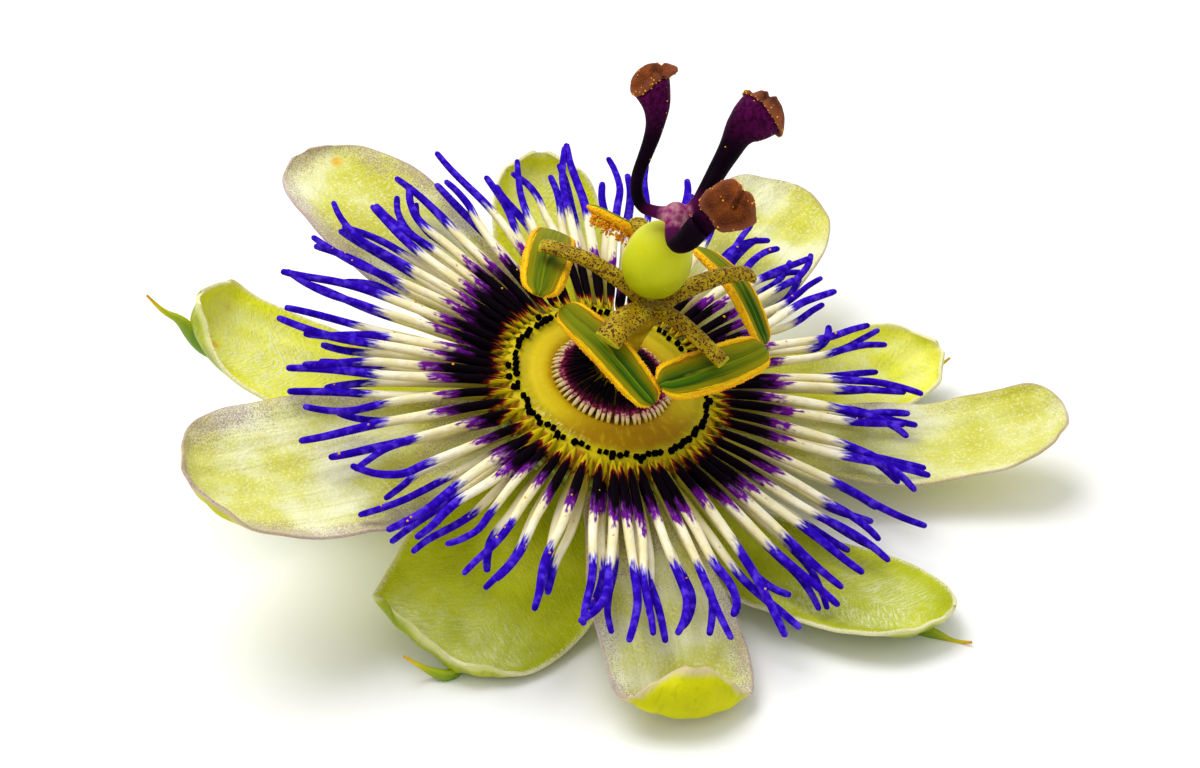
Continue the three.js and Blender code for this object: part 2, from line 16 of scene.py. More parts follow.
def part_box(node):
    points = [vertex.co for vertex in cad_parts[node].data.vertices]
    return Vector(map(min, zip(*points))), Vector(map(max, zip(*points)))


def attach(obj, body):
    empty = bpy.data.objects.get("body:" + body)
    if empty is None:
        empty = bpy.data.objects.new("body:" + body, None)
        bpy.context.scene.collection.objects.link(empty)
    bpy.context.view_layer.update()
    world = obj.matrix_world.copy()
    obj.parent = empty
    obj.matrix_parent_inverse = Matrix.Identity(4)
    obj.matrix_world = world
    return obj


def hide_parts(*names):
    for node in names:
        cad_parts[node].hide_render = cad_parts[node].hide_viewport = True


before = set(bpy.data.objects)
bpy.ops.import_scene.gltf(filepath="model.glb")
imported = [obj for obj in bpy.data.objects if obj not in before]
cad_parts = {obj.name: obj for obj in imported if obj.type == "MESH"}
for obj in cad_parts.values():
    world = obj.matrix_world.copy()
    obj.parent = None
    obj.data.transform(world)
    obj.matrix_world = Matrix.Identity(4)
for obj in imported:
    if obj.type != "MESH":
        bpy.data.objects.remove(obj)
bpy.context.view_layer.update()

# %% [markdown]
# The camera looks down at the flower from the front, as a person would who leans over a table.
# A long lens keeps the far petals nearly as large as the near ones.

# %% Camera
CAMERA_PLACE = (-0.00128, -0.24546, 0.18363)
CAMERA_TILT = math.radians(55)  # turned up from looking straight down
CAMERA_LENS = 100
SENSOR_WIDTH = 36
CLIP_START = 0.01

camera_data = bpy.data.cameras.new("camera")
camera_data.lens = CAMERA_LENS
camera_data.sensor_width = SENSOR_WIDTH
camera_data.clip_start = CLIP_START
camera = bpy.data.objects.new("camera", camera_data)
camera.location = CAMERA_PLACE
camera.rotation_euler = (CAMERA_TILT, 0, 0)
bpy.context.collection.objects.link(camera)
bpy.context.scene.camera = camera
print("camera:", CAMERA_LENS, "mm lens at", CAMERA_PLACE)

# %% [markdown]
# The floor is white and the light is soft, so that the shadows stay pale. A bright sky fills
# every hollow, and one large lamp above and a little behind the flower gives the shapes a
# light side. The view transform is the plain one, which keeps the yellows and blues strong.

# %% Floor and light
FLOOR_SIZE = 6
FLOOR_WHITE = 0.97
FLOOR_ROUGHNESS = 0.6
SKY_STRENGTH = 0.7
LAMP_PLACE = (-0.22, 0.16, 0.62)
LAMP_SIZE = 0.45
LAMP_POWER = 3.3

bpy.context.scene.view_settings.view_transform = "Standard"

world = bpy.data.worlds.new("soft_sky")
world.use_nodes = True
sky = world.node_tree.nodes["Background"]
sky.inputs["Color"].default_value = (1, 1, 1, 1)
sky.inputs["Strength"].default_value = SKY_STRENGTH
bpy.context.scene.world = world

lamp_data = bpy.data.lights.new("softbox", "AREA")
lamp_data.size = LAMP_SIZE
lamp_data.energy = LAMP_POWER
lamp = bpy.data.objects.new("softbox", lamp_data)
lamp.location = LAMP_PLACE
lamp.rotation_euler = (-Vector(LAMP_PLACE)).to_track_quat("-Z", "Y").to_euler()
bpy.context.collection.objects.link(lamp)

bpy.ops.mesh.primitive_plane_add(size=FLOOR_SIZE)
floor = bpy.context.object
floor.name = "floor"
floor_paint = bpy.data.materials.new("white_floor")
floor_paint.use_nodes = True
floor_shader = floor_paint.node_tree.nodes["Principled BSDF"]
floor_shader.inputs["Base Color"].default_value = (FLOOR_WHITE, FLOOR_WHITE, FLOOR_WHITE, 1)
floor_shader.inputs["Roughness"].default_value = FLOOR_ROUGHNESS
floor.data.materials.append(floor_paint)
print("floor:", FLOOR_SIZE, "m wide, lamp", LAMP_SIZE, "m wide at", LAMP_PLACE)

# %% [markdown]
# Every piece is modelled in the flower's own frame and in millimetres. There the flower
# stands upright, its axis is Z and the middle of its disc is the origin, so that a petal is
# just an angle and a radius. PLACE then sets it down as it lies, leaning on its petals.

# %% The flower's own frame
MM = 0.001
DISC_HEIGHT = 13.0
LEAN = math.radians(17.4)
LEAN_TOWARDS = math.radians(-33.3)
SPIN = math.radians(-12.6)
SHIFT = (-0.3, -1.61)

lean_axis = Vector((-math.sin(LEAN_TOWARDS), math.cos(LEAN_TOWARDS), 0))
PLACE = (
    Matrix.Scale(MM, 4)
    @ Matrix.Translation((*SHIFT, DISC_HEIGHT))
    @ Matrix.Rotation(LEAN, 4, lean_axis)
    @ Matrix.Rotation(SPIN, 4, "Z")
)


def polar(r, degrees, h):
    """A point at radius r, an angle in degrees and height h of the flower's frame."""
    a = math.radians(degrees)
    return np.array([r * math.cos(a), r * math.sin(a), h])


def from_table(x, y, z):
    """A point given in millimetres over the table, in the flower's frame."""
    return np.array(PLACE.inverted() @ Vector((x * MM, y * MM, z * MM)))


print("middle of the disc at", tuple(round(v, 5) for v in PLACE.translation), "m")


# the picture's right, its up and the way to the viewer, as directions of the flower's frame
PICTURE = np.array([(0.94, 0.233, 0.25), (-0.342, 0.641, 0.687), (0, -0.731, 0.682)])


def seen(right, up, near=0.0):
    """A direction that is given as a person in front of the flower sees it."""
    return np.array((right, up, near)) @ PICTURE


# %% [markdown]
# An operator acts on all that is selected, so each step first selects one piece alone. These
# helpers also add a primitive, round the corners where parts have grown together, read and
# write a mesh's points as one array, and keep a note with each point, such as how far along a
# petal it lies, for the materials to read.

# %% Helpers for selecting and for points
def only(piece):
    """Selects one piece and nothing else."""
    bpy.ops.object.select_all(action="DESELECT")
    piece.hide_viewport = False
    piece.select_set(True)
    bpy.context.view_layer.objects.active = piece
    return piece


def primitive(add, name, **settings):
    """Adds a primitive by its operator, with nothing else selected, and names it."""
    bpy.ops.object.select_all(action="DESELECT")
    add(**settings)
    piece = bpy.context.object
    piece.name = name
    return piece


def edit_faces(piece, wanted):
    """Goes to edit mode with the faces selected that pass the test."""
    only(piece)
    bpy.ops.object.mode_set(mode="EDIT")
    bpy.ops.mesh.select_mode(type="FACE")
    bpy.ops.mesh.select_all(action="DESELECT")
    bpy.ops.object.mode_set(mode="OBJECT")
    for face in piece.data.polygons:
        face.select = wanted(face)
    bpy.ops.object.mode_set(mode="EDIT")


def apply_modifier(piece, kind, **settings):
    """Adds a modifier, sets it and applies it."""
    only(piece)
    modifier = piece.modifiers.new(kind.lower(), kind)
    for key, value in settings.items():
        setattr(modifier, key, value)
    bpy.ops.object.modifier_apply(modifier=modifier.name)


def grown_together(piece, voxel_size, smoothing):
    """Makes one skin of a piece's parts and rounds the corners between them."""
    apply_modifier(piece, "REMESH", mode="VOXEL", voxel_size=voxel_size)
    apply_modifier(piece, "SMOOTH", factor=0.5, iterations=smoothing)


def copy_of(master, name):
    """A copy with its own mesh."""
    piece = master.copy()
    piece.data = master.data.copy()
    piece.name = name
    bpy.context.collection.objects.link(piece)
    return piece


def joined(pieces, name):
    """Makes one object of several."""
    only(pieces[0])
    for piece in pieces[1:]:
        piece.select_set(True)
    bpy.ops.object.join()
    pieces[0].name = name
    return pieces[0]


def points_of(piece):
    flat = np.empty(len(piece.data.vertices) * 3)
    piece.data.vertices.foreach_get("co", flat)
    return flat.reshape(-1, 3)


def set_points(piece, points):
    piece.data.vertices.foreach_set("co", np.ascontiguousarray(points).ravel())
    piece.data.update()


def note(piece, name, values):
    """Keeps three numbers with each point, under a name that a material reads."""
    attribute = piece.data.attributes.get(name)
    attribute = attribute or piece.data.attributes.new(name, "FLOAT_VECTOR", "POINT")
    attribute.data.foreach_set("vector", np.ascontiguousarray(values).ravel())


def grain(points, size):
    """Smooth noise from about -1 to 1 at each point, whose lumps are about that size."""
    return np.array([noise.noise(Vector(p) / size) for p in points])


def ease(low, high, x):
    """0 below low, 1 above high and a smooth step between."""
    t = np.clip((x - low) / (high - low), 0, 1)
    return t * t * (3 - 2 * t)


def bell(x, width):
    """1 where x is 0, falling smoothly to almost nothing at twice the width."""
    return np.exp(-((x / width) ** 2))


# %% [markdown]
# Curves are given by a few knots. The line through them is smooth, and Line
# also measures it, so that equal shares of it are equal lengths.

# %% Smooth lines
def through(knots, share):
    """A smooth curve through the knots. share runs from 0 at the first to 1 at the last."""
    knots = np.array(knots, float)
    last = len(knots) - 1
    place = np.clip(share, 0, 1) * last
    index = np.minimum(place.astype(int), last - 1)
    w = (place - index)[:, None]
    before, start, end, after = (knots[np.clip(index + k, 0, last)] for k in (-1, 0, 1, 2))
    leave = (end - before) / 2
    arrive = (after - start) / 2
    rise = 3 * (end - start) - 2 * leave - arrive
    fall = 2 * (start - end) + leave + arrive
    return start + leave * w + rise * w**2 + fall * w**3


class Line:
    """A smooth line, read at shares of its length."""

    def __init__(self, knots):
        self.points = through(knots, np.linspace(0, 1, 60 * len(knots)))
        steps = np.linalg.norm(np.diff(self.points, axis=0), axis=1)
        self.reach = np.concatenate([[0], np.cumsum(steps)])
        self.length = self.reach[-1]

    def at(self, share):
        where = np.clip(share, 0, 1) * self.length
        return np.stack([np.interp(where, self.reach, c) for c in self.points.T], axis=-1)

    def direction(self, share):
        ahead = self.at(share + 0.004) - self.at(share - 0.004)
        return ahead / np.linalg.norm(ahead, axis=-1, keepdims=True)


# %% [markdown]
# Long thin pieces such as filaments, styles and the stalk all start as one straight rod,
# whose end face is extruded ring by ring. Each copy is then laid along its own line. That is
# what a curve modifier does, but here the side that faces up is chosen, and the rod gets a
# half width and a half thickness all the way along.

# %% Rods laid along lines
def straight_rod(name, sides, rings):
    """A rod 1 long on X and 1 in radius."""
    step = 1 / rings
    rod = primitive(
        bpy.ops.mesh.primitive_cylinder_add, name,
        vertices=sides, radius=1, depth=step, location=(step / 2, 0, 0), rotation=(0, math.pi / 2, 0),
    )
    bpy.ops.object.transform_apply(location=True, rotation=True, scale=True)
    edit_faces(rod, lambda face: face.normal.x > 0.9)
    for _ in range(rings - 1):
        bpy.ops.mesh.extrude_region_move(TRANSFORM_OT_translate={"value": (step, 0, 0)})
    bpy.ops.object.mode_set(mode="OBJECT")
    return rod


def lay_along(rod, knots, radii, up=(0, 0, 1), rounded=False):
    """Bends the rod along the line. radii are pairs of half width and half thickness."""
    line = Line(knots)
    place = points_of(rod)
    share = place[:, 0]
    ahead = line.direction(share)
    side = np.cross(np.array(up, float), ahead)
    side /= np.linalg.norm(side, axis=1, keepdims=True)
    rise = np.cross(ahead, side)
    radius = through(radii, share)
    if rounded:
        from_end = np.minimum(share, 1 - share) * line.length / radius.mean(1)
        radius = radius * np.sqrt(1 - (1 - np.clip(from_end, 0.1, 1)) ** 2)[:, None]
    across = side * place[:, 1:2] * radius[:, :1]
    upward = rise * place[:, 2:] * radius[:, 1:]
    set_points(rod, line.at(share) + across + upward)
    return line


def turned(name, profile, steps):
    """A round piece: its profile is drawn point by point and spun about the axis."""
    piece = primitive(bpy.ops.mesh.primitive_plane_add, name, size=1)
    bpy.ops.object.mode_set(mode="EDIT")
    bpy.ops.mesh.select_mode(type="VERT")
    bpy.ops.mesh.select_all(action="SELECT")
    bpy.ops.mesh.merge(type="CENTER")
    at_r, at_h = 0.0, 0.0
    for i, (r, h) in enumerate(profile):
        move = {"value": (r - at_r, 0, h - at_h)}
        if i == 0:
            bpy.ops.transform.translate(**move)
        else:
            bpy.ops.mesh.extrude_region_move(TRANSFORM_OT_translate=move)
        at_r, at_h = r, h
    bpy.ops.mesh.select_all(action="SELECT")
    bpy.ops.mesh.spin(steps=steps, angle=2 * math.pi, center=(0, 0, 0), axis=(0, 0, 1))
    bpy.ops.mesh.select_all(action="SELECT")
    bpy.ops.mesh.remove_doubles(threshold=0.002)
    bpy.ops.mesh.normals_make_consistent(inside=False)
    bpy.ops.object.mode_set(mode="OBJECT")
    return piece


# %% [markdown]
# A finished piece is set down in its place on the table, what touches the table is pressed
# flat there, and the solid that it stands for is hidden. The printed line says how far the
# corners of the new piece's box are from those of the solid.

# %% Setting a piece down
def set_down(piece, slot, *nodes):
    only(piece)
    piece.matrix_world = PLACE @ piece.matrix_world
    bpy.ops.object.transform_apply(location=True, rotation=True, scale=True)
    points = points_of(piece)
    points[:, 2] = np.maximum(points[:, 2], 0)
    set_points(piece, points)
    bpy.ops.object.shade_smooth()
    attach(piece, "root")
    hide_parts(*nodes)
    low = Vector(map(min, zip(*(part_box(n)[0] for n in nodes))))
    high = Vector(map(max, zip(*(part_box(n)[1] for n in nodes))))
    past_low = [round(v / MM, 2) for v in np.array(low) - points.min(0)]
    past_high = [round(v / MM, 2) for v in points.max(0) - np.array(high)]
    faces = len(piece.data.polygons)
    print(f"{piece.name}: {faces} faces, past its solid by {past_low} and {past_high} mm")


# %% [markdown]
# The materials are node trees. Paint makes one and has a short call for each kind of node
# that the flower needs: a place to read a pattern at, noise, a ramp of colours, a mix of two
# colours and a bump. Sizes are real ones, in millimetres where the flower's frame is read.

# %% A painter of materials
def tint(code):
    """A colour code of six hexadecimal digits as the linear colour that a shader takes."""
    parts = [int(code[i : i + 2], 16) / 255 for i in (0, 2, 4)]
    linear = [c / 12.92 if c <= 0.04045 else ((c + 0.055) / 1.055) ** 2.4 for c in parts]
    return (*linear, 1)


class Paint:
    def __init__(self, name, roughness, **sockets):
        self.material = bpy.data.materials.new(name)
        self.material.use_nodes = True
        self.tree = self.material.node_tree
        self.shader = self.tree.nodes["Principled BSDF"]
        self.shader.inputs["Roughness"].default_value = roughness
        for key, value in sockets.items():
            self.shader.inputs[key.replace("_", " ")].default_value = value
        self.body = None
        self.last_bump = None

    def node(self, kind, inputs=None, **settings):
        made = self.tree.nodes.new("ShaderNode" + kind)
        for key, value in settings.items():
            setattr(made, key, value)
        for key, value in (inputs or {}).items():
            if isinstance(value, bpy.types.NodeSocket):
                self.tree.links.new(value, made.inputs[key])
            else:
                made.inputs[key].default_value = value
        return made

    def flower(self):
        """The place in the flower's frame, in millimetres."""
        here = self.node("TexCoord").outputs["Object"]
        location, rotation, scale = PLACE.decompose()
        settings = {
            "Vector": here,
            "Location": location,
            "Rotation": rotation.to_euler(),
            "Scale": scale,
        }
        return self.node("Mapping", settings, vector_type="TEXTURE").outputs["Vector"]

    def noted(self, name):
        return self.node("Attribute", attribute_name=name).outputs["Vector"]

    def parts(self, vector, names="XYZ"):
        """The named parts of a vector: one socket for each letter."""
        split = self.node("SeparateXYZ", {"Vector": vector})
        return [split.outputs[letter] for letter in names]

    def vector(self, x, y, z):
        return self.node("CombineXYZ", {"X": x, "Y": y, "Z": z}).outputs["Vector"]

    def math(self, operation, a, b=0.0, c=0.0):
        made = self.node("Math", {0: a, 1: b, 2: c}, operation=operation)
        return made.outputs["Value"]

    def times(self, a, b):
        return self.math("MULTIPLY", a, b)

    def plus(self, a, b):
        return self.math("ADD", a, b)

    def minus(self, a, b):
        return self.math("SUBTRACT", a, b)

    def length(self, x, y):
        squares = self.math("MULTIPLY_ADD", y, y, self.times(x, x))
        return self.math("SQRT", squares)

    def share(self, value, low, high):
        """How far the value is from low to high, as a number from 0 to 1."""
        inputs = {"Value": value, "From Min": low, "From Max": high}
        return self.node("MapRange", inputs).outputs["Result"]

    def near(self, vector, place, size):
        """1 within size millimetres of a place, fading to 0 at twice that."""
        gap = self.node("VectorMath", {0: vector, 1: place}, operation="DISTANCE").outputs["Value"]
        return self.ease(gap, size, size * 2, 1.0, 0.0)

    def ease(self, value, low, high, first=0.0, last=1.0):
        """A smooth step between low and high, from first to last."""
        made = self.node(
            "MapRange",
            {"Value": value, "From Min": low, "From Max": high, "To Min": first, "To Max": last},
            interpolation_type="SMOOTHSTEP",
        )
        return made.outputs["Result"]

    def shift(self, noise, most):
        """Turns noise into a shift from -most to most."""
        return self.ease(noise, 0.3, 0.7, -most, most)

    def noise(self, vector, size, detail=2.0, distortion=0.0):
        made = self.node(
            "TexNoise",
            {"Vector": vector, "Scale": 1 / size, "Detail": detail, "Distortion": distortion},
        )
        return made.outputs["Fac"]

    def streaks(self, vector, sizes, detail):
        """Noise whose lumps have a size of their own along each part of the vector."""
        inputs = {"Vector": vector, "Scale": tuple(1 / size for size in sizes)}
        return self.noise(self.node("Mapping", inputs).outputs["Vector"], 1.0, detail)

    def cells(self, vector, size):
        """The distance to the middle of the nearest cell."""
        made = self.node("TexVoronoi", {"Vector": vector, "Scale": 1 / size})
        return made.outputs["Distance"]

    def mix(self, share, first, second):
        made = self.node("Mix", {0: share, 6: first, 7: second}, data_type="RGBA")
        return made.outputs[2]

    def ramp(self, value, stops):
        """A row of colours: stops are pairs of a place from 0 to 1 and a colour code."""
        made = self.node("ValToRGB", {"Fac": value})
        elements = made.color_ramp.elements
        elements[0].position, elements[0].color = stops[0][0], tint(stops[0][1])
        elements[1].position, elements[1].color = stops[-1][0], tint(stops[-1][1])
        for place, code in stops[1:-1]:
            elements.new(place).color = tint(code)
        return made.outputs["Color"]

    def bump(self, height, depth):
        """Raises the surface by depth millimetres where the height is 1."""
        inputs = {"Height": height, "Distance": depth * MM, "Strength": 1.0}
        if self.last_bump:
            inputs["Normal"] = self.last_bump
        self.last_bump = self.node("Bump", inputs).outputs["Normal"]
        self.tree.links.new(self.last_bump, self.shader.inputs["Normal"])

    def over(self, share, colour):
        """Lays a colour, as a code or a socket, over the body colour by a share of 0 to 1."""
        if isinstance(colour, str):
            colour = tint(colour)
        self.body = self.mix(share, self.body, colour)

    def done(self):
        self.tree.links.new(self.body, self.shader.inputs["Base Color"])
        return self.material


# %% [markdown]
# A petal's inner face is velvety: pale yellow-green, with cream where the light catches its
# cells, and dusted with tiny mauve specks that crowd together near the edge and the root. The
# petals at the back right have the fewest. A thin mauve line runs round the rim. The note
# called blade holds how far along, how far across and how far from the edge each point lies,
# so that all this follows the petal.

# %% Petal finishes
STAINS = [(-31.3, 19.5, -3.7), (-35.0, -1.35, -6.5), (-34.6, -6.3, -6.8), (-23.2, -0.1, -7.3)]
STAIN_R = 0.45
SOFT = dict(Subsurface_Weight=0.2, Subsurface_Radius=(1.0, 1.0, 0.5), Subsurface_Scale=0.6 * MM)


def stain(paint, flower):
    """A few orange stains, where pollen got wet."""
    for place in STAINS:
        spot = paint.near(flower, place, STAIN_R)
        paint.over(paint.times(spot, 0.75), "E8B010")


def petal_inner():
    paint = Paint("petal_inner", 0.65, Specular_IOR_Level=0.15, **SOFT)
    blade = paint.noted("blade")
    along, edge = paint.parts(blade, "XZ")
    flower = paint.flower()
    clouds = paint.noise(flower, 7.0, 3.0)
    paint.body = paint.ramp(clouds, [(0.32, "C8C63C"), (0.48, "D6D66E"), (0.64, "ECEBC0")])
    veins = paint.streaks(blade, (9.0, 0.55, 1.0), 2.0)
    paint.over(paint.ease(veins, 0.52, 0.68, 0.0, 0.3), "CCC232")
    sparkle = paint.noise(flower, 0.26, 2.0)
    paint.over(paint.ease(sparkle, 0.5, 0.68, 0.0, 0.4), "F8F6CE")
    near_edge = paint.ease(edge, 0.2, 4.2, 1.0, 0.0)
    near_root = paint.ease(along, 5.0, 19.0, 0.6, 0.08)
    patches = paint.noise(flower, 4.5, 2.0)
    crowd = paint.math("MAXIMUM", near_edge, near_root)
    crowd = paint.plus(paint.ease(patches, 0.3, 0.7, -0.35, 0.25), crowd)
    x, y = paint.parts(flower, "XY")
    pale_side = paint.ease(paint.plus(x, y), 6.0, 24.0, 1.0, 0.45)
    crowd = paint.times(crowd, pale_side)
    specks = paint.noise(flower, 0.12, 1.0)
    level = paint.ease(crowd, 0.0, 1.1, 0.7, 0.44)
    speck_share = paint.ease(paint.minus(specks, level), 0.0, 0.06, 0.0, 0.62)
    paint.over(speck_share, "8E6A8C")
    haze = paint.ease(crowd, 0.35, 1.3, 0.0, 0.32)
    paint.over(haze, "C6B4AC")
    rim = paint.ease(edge, 0.06, 0.26, 0.55, 0.0)
    paint.over(rim, "A88494")
    stain(paint, flower)
    cells = paint.cells(flower, 0.32)
    paint.bump(cells, 0.05)
    paint.bump(veins, 0.12)
    return paint.done()


def petal_outer():
    paint = Paint("petal_outer", 0.55, Specular_IOR_Level=0.1, **SOFT)
    blade = paint.noted("blade")
    (edge,) = paint.parts(blade, "Z")
    flower = paint.flower()
    clouds = paint.noise(flower, 6.0, 3.0)
    paint.body = paint.ramp(clouds, [(0.3, "C0C002"), (0.55, "D2D004"), (0.75, "DEDC34")])
    veins = paint.streaks(blade, (10.0, 0.7, 1.0), 2.0)
    paint.over(paint.ease(veins, 0.5, 0.7, 0.0, 0.4), "A6A80E")
    rim = paint.ease(edge, 0.2, 1.1, 0.8, 0.0)
    paint.over(rim, "D0BCA0")
    paint.bump(paint.cells(flower, 0.35), 0.04)
    paint.bump(veins, 0.15)
    return paint.done()


PETAL_INNER, PETAL_OUTER = petal_inner(), petal_outer()
print("petal finishes:", PETAL_INNER.name, PETAL_OUTER.name)


# %% [markdown]
# A sepal is fleshier and greener. Its inner face has a frosted, brushed look along the
# middle, its rim is cream and finely ragged, and its back is a waxy yellow-green. The little
# horn behind its tip is green, turns yellow and orange to the point, and is ruddy below.

# %% Sepal finishes
def sepal_inner(name, greens, felt):
    paint = Paint(name, 0.62, Specular_IOR_Level=0.15, **SOFT)
    blade = paint.noted("blade")
    along, across, edge = paint.parts(blade)
    aside = paint.math("ABSOLUTE", across)
    flower = paint.flower()
    clouds = paint.noise(flower, 6.5, 3.0)
    paint.body = paint.ramp(clouds, list(zip((0.34, 0.5, 0.66), greens)))
    outward = paint.math("MULTIPLY_ADD", aside, 0.77, paint.times(along, 0.64))
    beside = paint.math("MULTIPLY_ADD", aside, 0.64, paint.times(along, -0.77))
    barbs = paint.vector(paint.times(outward, 0.8), paint.times(beside, 5.0), 0.0)
    brushed = paint.noise(barbs, 1.0, 2.0, 0.8)
    patches = paint.noise(flower, 4.0, 2.0)
    zone = paint.times(paint.ease(along, 11.0, 20.0), paint.ease(edge, 0.6, 3.0))
    zone = paint.times(zone, paint.ease(patches, 0.32, 0.55, 0.25, 1.0))
    zone = paint.times(zone, paint.ease(along, 23.0, 28.0, 1.0, 0.35))
    paint.over(paint.times(zone, 0.35), felt)
    frost = paint.times(paint.ease(brushed, 0.42, 0.66, 0.0, 0.7), zone)
    paint.over(frost, "E9ECBC")
    sparkle = paint.noise(flower, 0.16, 2.0)
    glint = paint.ease(sparkle, 0.54, 0.7, 0.0, 0.5)
    glint = paint.times(glint, paint.ease(zone, 0.0, 0.6, 0.3, 1.0))
    paint.over(glint, "F2F2C8")
    ragged = paint.plus(edge, paint.shift(sparkle, 0.25))
    paint.over(paint.ease(ragged, 0.05, 0.5, 0.75, 0.0), "EEE6C8")
    stain(paint, flower)
    paint.bump(paint.cells(flower, 0.4), 0.06)
    paint.bump(brushed, 0.12)
    return paint.done()


def sepal_outer():
    paint = Paint("sepal_outer", 0.45, Specular_IOR_Level=0.3, **SOFT)
    blade = paint.noted("blade")
    (edge,) = paint.parts(blade, "Z")
    flower = paint.flower()
    clouds = paint.noise(flower, 5.0, 3.0)
    paint.body = paint.ramp(clouds, [(0.3, "8C9C0A"), (0.55, "A4AE12"), (0.75, "BCC030")])
    veins = paint.streaks(blade, (8.0, 0.6, 1.0), 2.0)
    paint.over(paint.ease(veins, 0.5, 0.7, 0.0, 0.4), "768A10")
    paint.over(paint.ease(edge, 0.1, 0.9, 0.7, 0.0), "DFDC98")
    paint.bump(paint.cells(flower, 0.45), 0.04)
    paint.bump(veins, 0.18)
    return paint.done()


def awn_green():
    paint = Paint("awn_green", 0.45, Specular_IOR_Level=0.25)
    share, rise = paint.parts(paint.noted("blade"), "XZ")
    flower = paint.flower()
    paint.body = paint.ramp(
        share, [(0.0, "587C08"), (0.5, "68900A"), (0.7, "9AAA0E"), (0.86, "DCC60E"), (1.0, "E0920E")]
    )
    mottle = paint.noise(flower, 0.8, 3.0)
    paint.over(paint.ease(mottle, 0.45, 0.7, 0.0, 0.3), "8EA41C")
    paint.over(paint.ease(rise, 0.5, 0.9, 0.0, 0.5), "B8C620")
    paint.over(paint.ease(rise, -0.6, -0.95, 0.0, 0.6), "A0600E")
    paint.bump(mottle, 0.1)
    return paint.done()


# The two sepals nearest the viewer take darker, greener copies of the inner finish: painted shade.
SEPAL_YELLOW = sepal_inner("sepal_inner_yellow", ("D8D80E", "E6E81C", "F0F05C"), "EEEE98")
SHADED_SEPAL_LIME = sepal_inner("sepal_inner_shaded_lime", ("A6AE02", "B6BE04", "C8CE20"), "CED26C")
SHADED_SEPAL_GREEN = sepal_inner("sepal_inner_shaded_green", ("B0B802", "C4CC06", "DAE02C"), "E8EA98")
SEPAL_OUTER, AWN_GREEN = sepal_outer(), awn_green()
SHADY_SEPALS = {"sepal_4": SHADED_SEPAL_LIME, "sepal_5": SHADED_SEPAL_GREEN}  # nearest to the viewer
print("sepal finishes:", SEPAL_YELLOW.name, SHADED_SEPAL_LIME.name, SHADED_SEPAL_GREEN.name, SEPAL_OUTER.name)

# %% [markdown]
# Ten blades lie round the flower in turn: five petals and, a little lower, five sepals. No
# two are alike, so each has its own line from root to tip, its own half widths and its own
# bend across. The words below are the ones that shape the solids: at is the angle of the tip,
# swing what the root has more than that, half the half width on the clockwise side and on the
# other, cup the bend across in degrees at root and tip, full how far along the blade keeps
# its width, and middle the radius and height of its rib from root to tip.

# %% The ten blades
ROOT_R = 9.62
ROOT_HALF = 4.7
PETAL_ROOT = (ROOT_R, -3.25)
SEPAL_ROOT = (ROOT_R, -4.8)
SKIN = 0.35  # height of the inner face above the middle line

BLADES = {
    "petal_1": dict(
        at=152, swing=0, half=(7.2, 7.2), cup=(2, 28), full=(0.6, 0.6),
        middle=[PETAL_ROOT, (20, -3.1), (30, -3.5), (37, -4.0), (39.4, -3.4)],
    ),
    "petal_2": dict(
        at=74, swing=0, half=(6.7, 6.7), cup=(2, 30), full=(0.6, 0.6),
        middle=[PETAL_ROOT, (20, -3.1), (31, -3.5), (38, -3.8), (40.4, -2.8)],
    ),
    "petal_3": dict(
        at=17, swing=0, half=(5.6, 4.8), cup=(2, 34), full=(0.75, 0.85),
        middle=[PETAL_ROOT, (20, -3.1), (28, -3.0), (33, -1.6), (38, 0.8), (41, 2.8), (42.2, 4.1)],
    ),
    "petal_4": dict(
        at=296.5, swing=0, half=(6.6, 6.6), cup=(2, 36), full=(0.6, 0.6),
        middle=[PETAL_ROOT, (18, -3.1), (27, -3.6), (32.6, -4.8), (34.8, -3.4), (34.3, -0.8), (32.8, 0.4)],
    ),
    "petal_5": dict(
        at=223.5, swing=0, half=(8.2, 8.4), cup=(2, 32), full=(0.6, 0.6),
        middle=[PETAL_ROOT, (20, -3.2), (32, -3.0), (39.5, -2.0), (42.3, 0.4)],
    ),
    "sepal_1": dict(
        at=187, swing=7, half=(6.0, 6.8), cup=(4, 48), full=(0.8, 0.5), awn=(41.8, -3.9, 0.6),
        middle=[SEPAL_ROOT, (18, -6.6), (28, -7.6), (33.6, -7.3), (36.6, -5.7), (37.6, -3.2)],
    ),
    "sepal_2": dict(
        at=115, swing=0, half=(5.9, 5.9), cup=(4, 50), full=(0.6, 0.6), awn=(34.4, -5.4, 0),
        middle=[SEPAL_ROOT, (18, -6.0), (27, -5.6), (31.5, -4.2), (33.0, -2.4)],
    ),
    "sepal_3": dict(
        at=39, swing=0, half=(5.9, 5.9), cup=(4, 50), full=(0.6, 0.6), awn=(38.2, -4.2, 0),
        middle=[SEPAL_ROOT, (18, -6.0), (29, -6.0), (35, -4.6), (36.8, -2.8)],
    ),
    "sepal_4": dict(
        at=338, swing=-7, half=(7.0, 5.8), cup=(4, 30), full=(0.65, 0.6), awn=(39.6, -0.8, 0.4),
        middle=[SEPAL_ROOT, (18, -5.5), (27, -3.9), (32, -2.3), (35.6, -0.7), (37.1, 0.9)],
    ),
    "sepal_5": dict(
        at=262, swing=0, half=(9.5, 8.7), cup=(4, 26), full=(0.9, 0.25), awn=(31.0, -9.9, -4.4),
        middle=[SEPAL_ROOT, (16, -6.8), (22, -9.4), (26.8, -10.5), (28.9, -10.2), (29.9, -9.1)],
    ),
}


def half_width(t, half, full):
    neck = min(0.66, ROOT_HALF / half)
    body = neck + (1 - neck) * ease(0, 0.5, t)
    x = np.clip((t - full) / (1 - full), 0, 1)
    return half * body * np.sqrt(np.maximum(1 - x**2.6, 0.012))


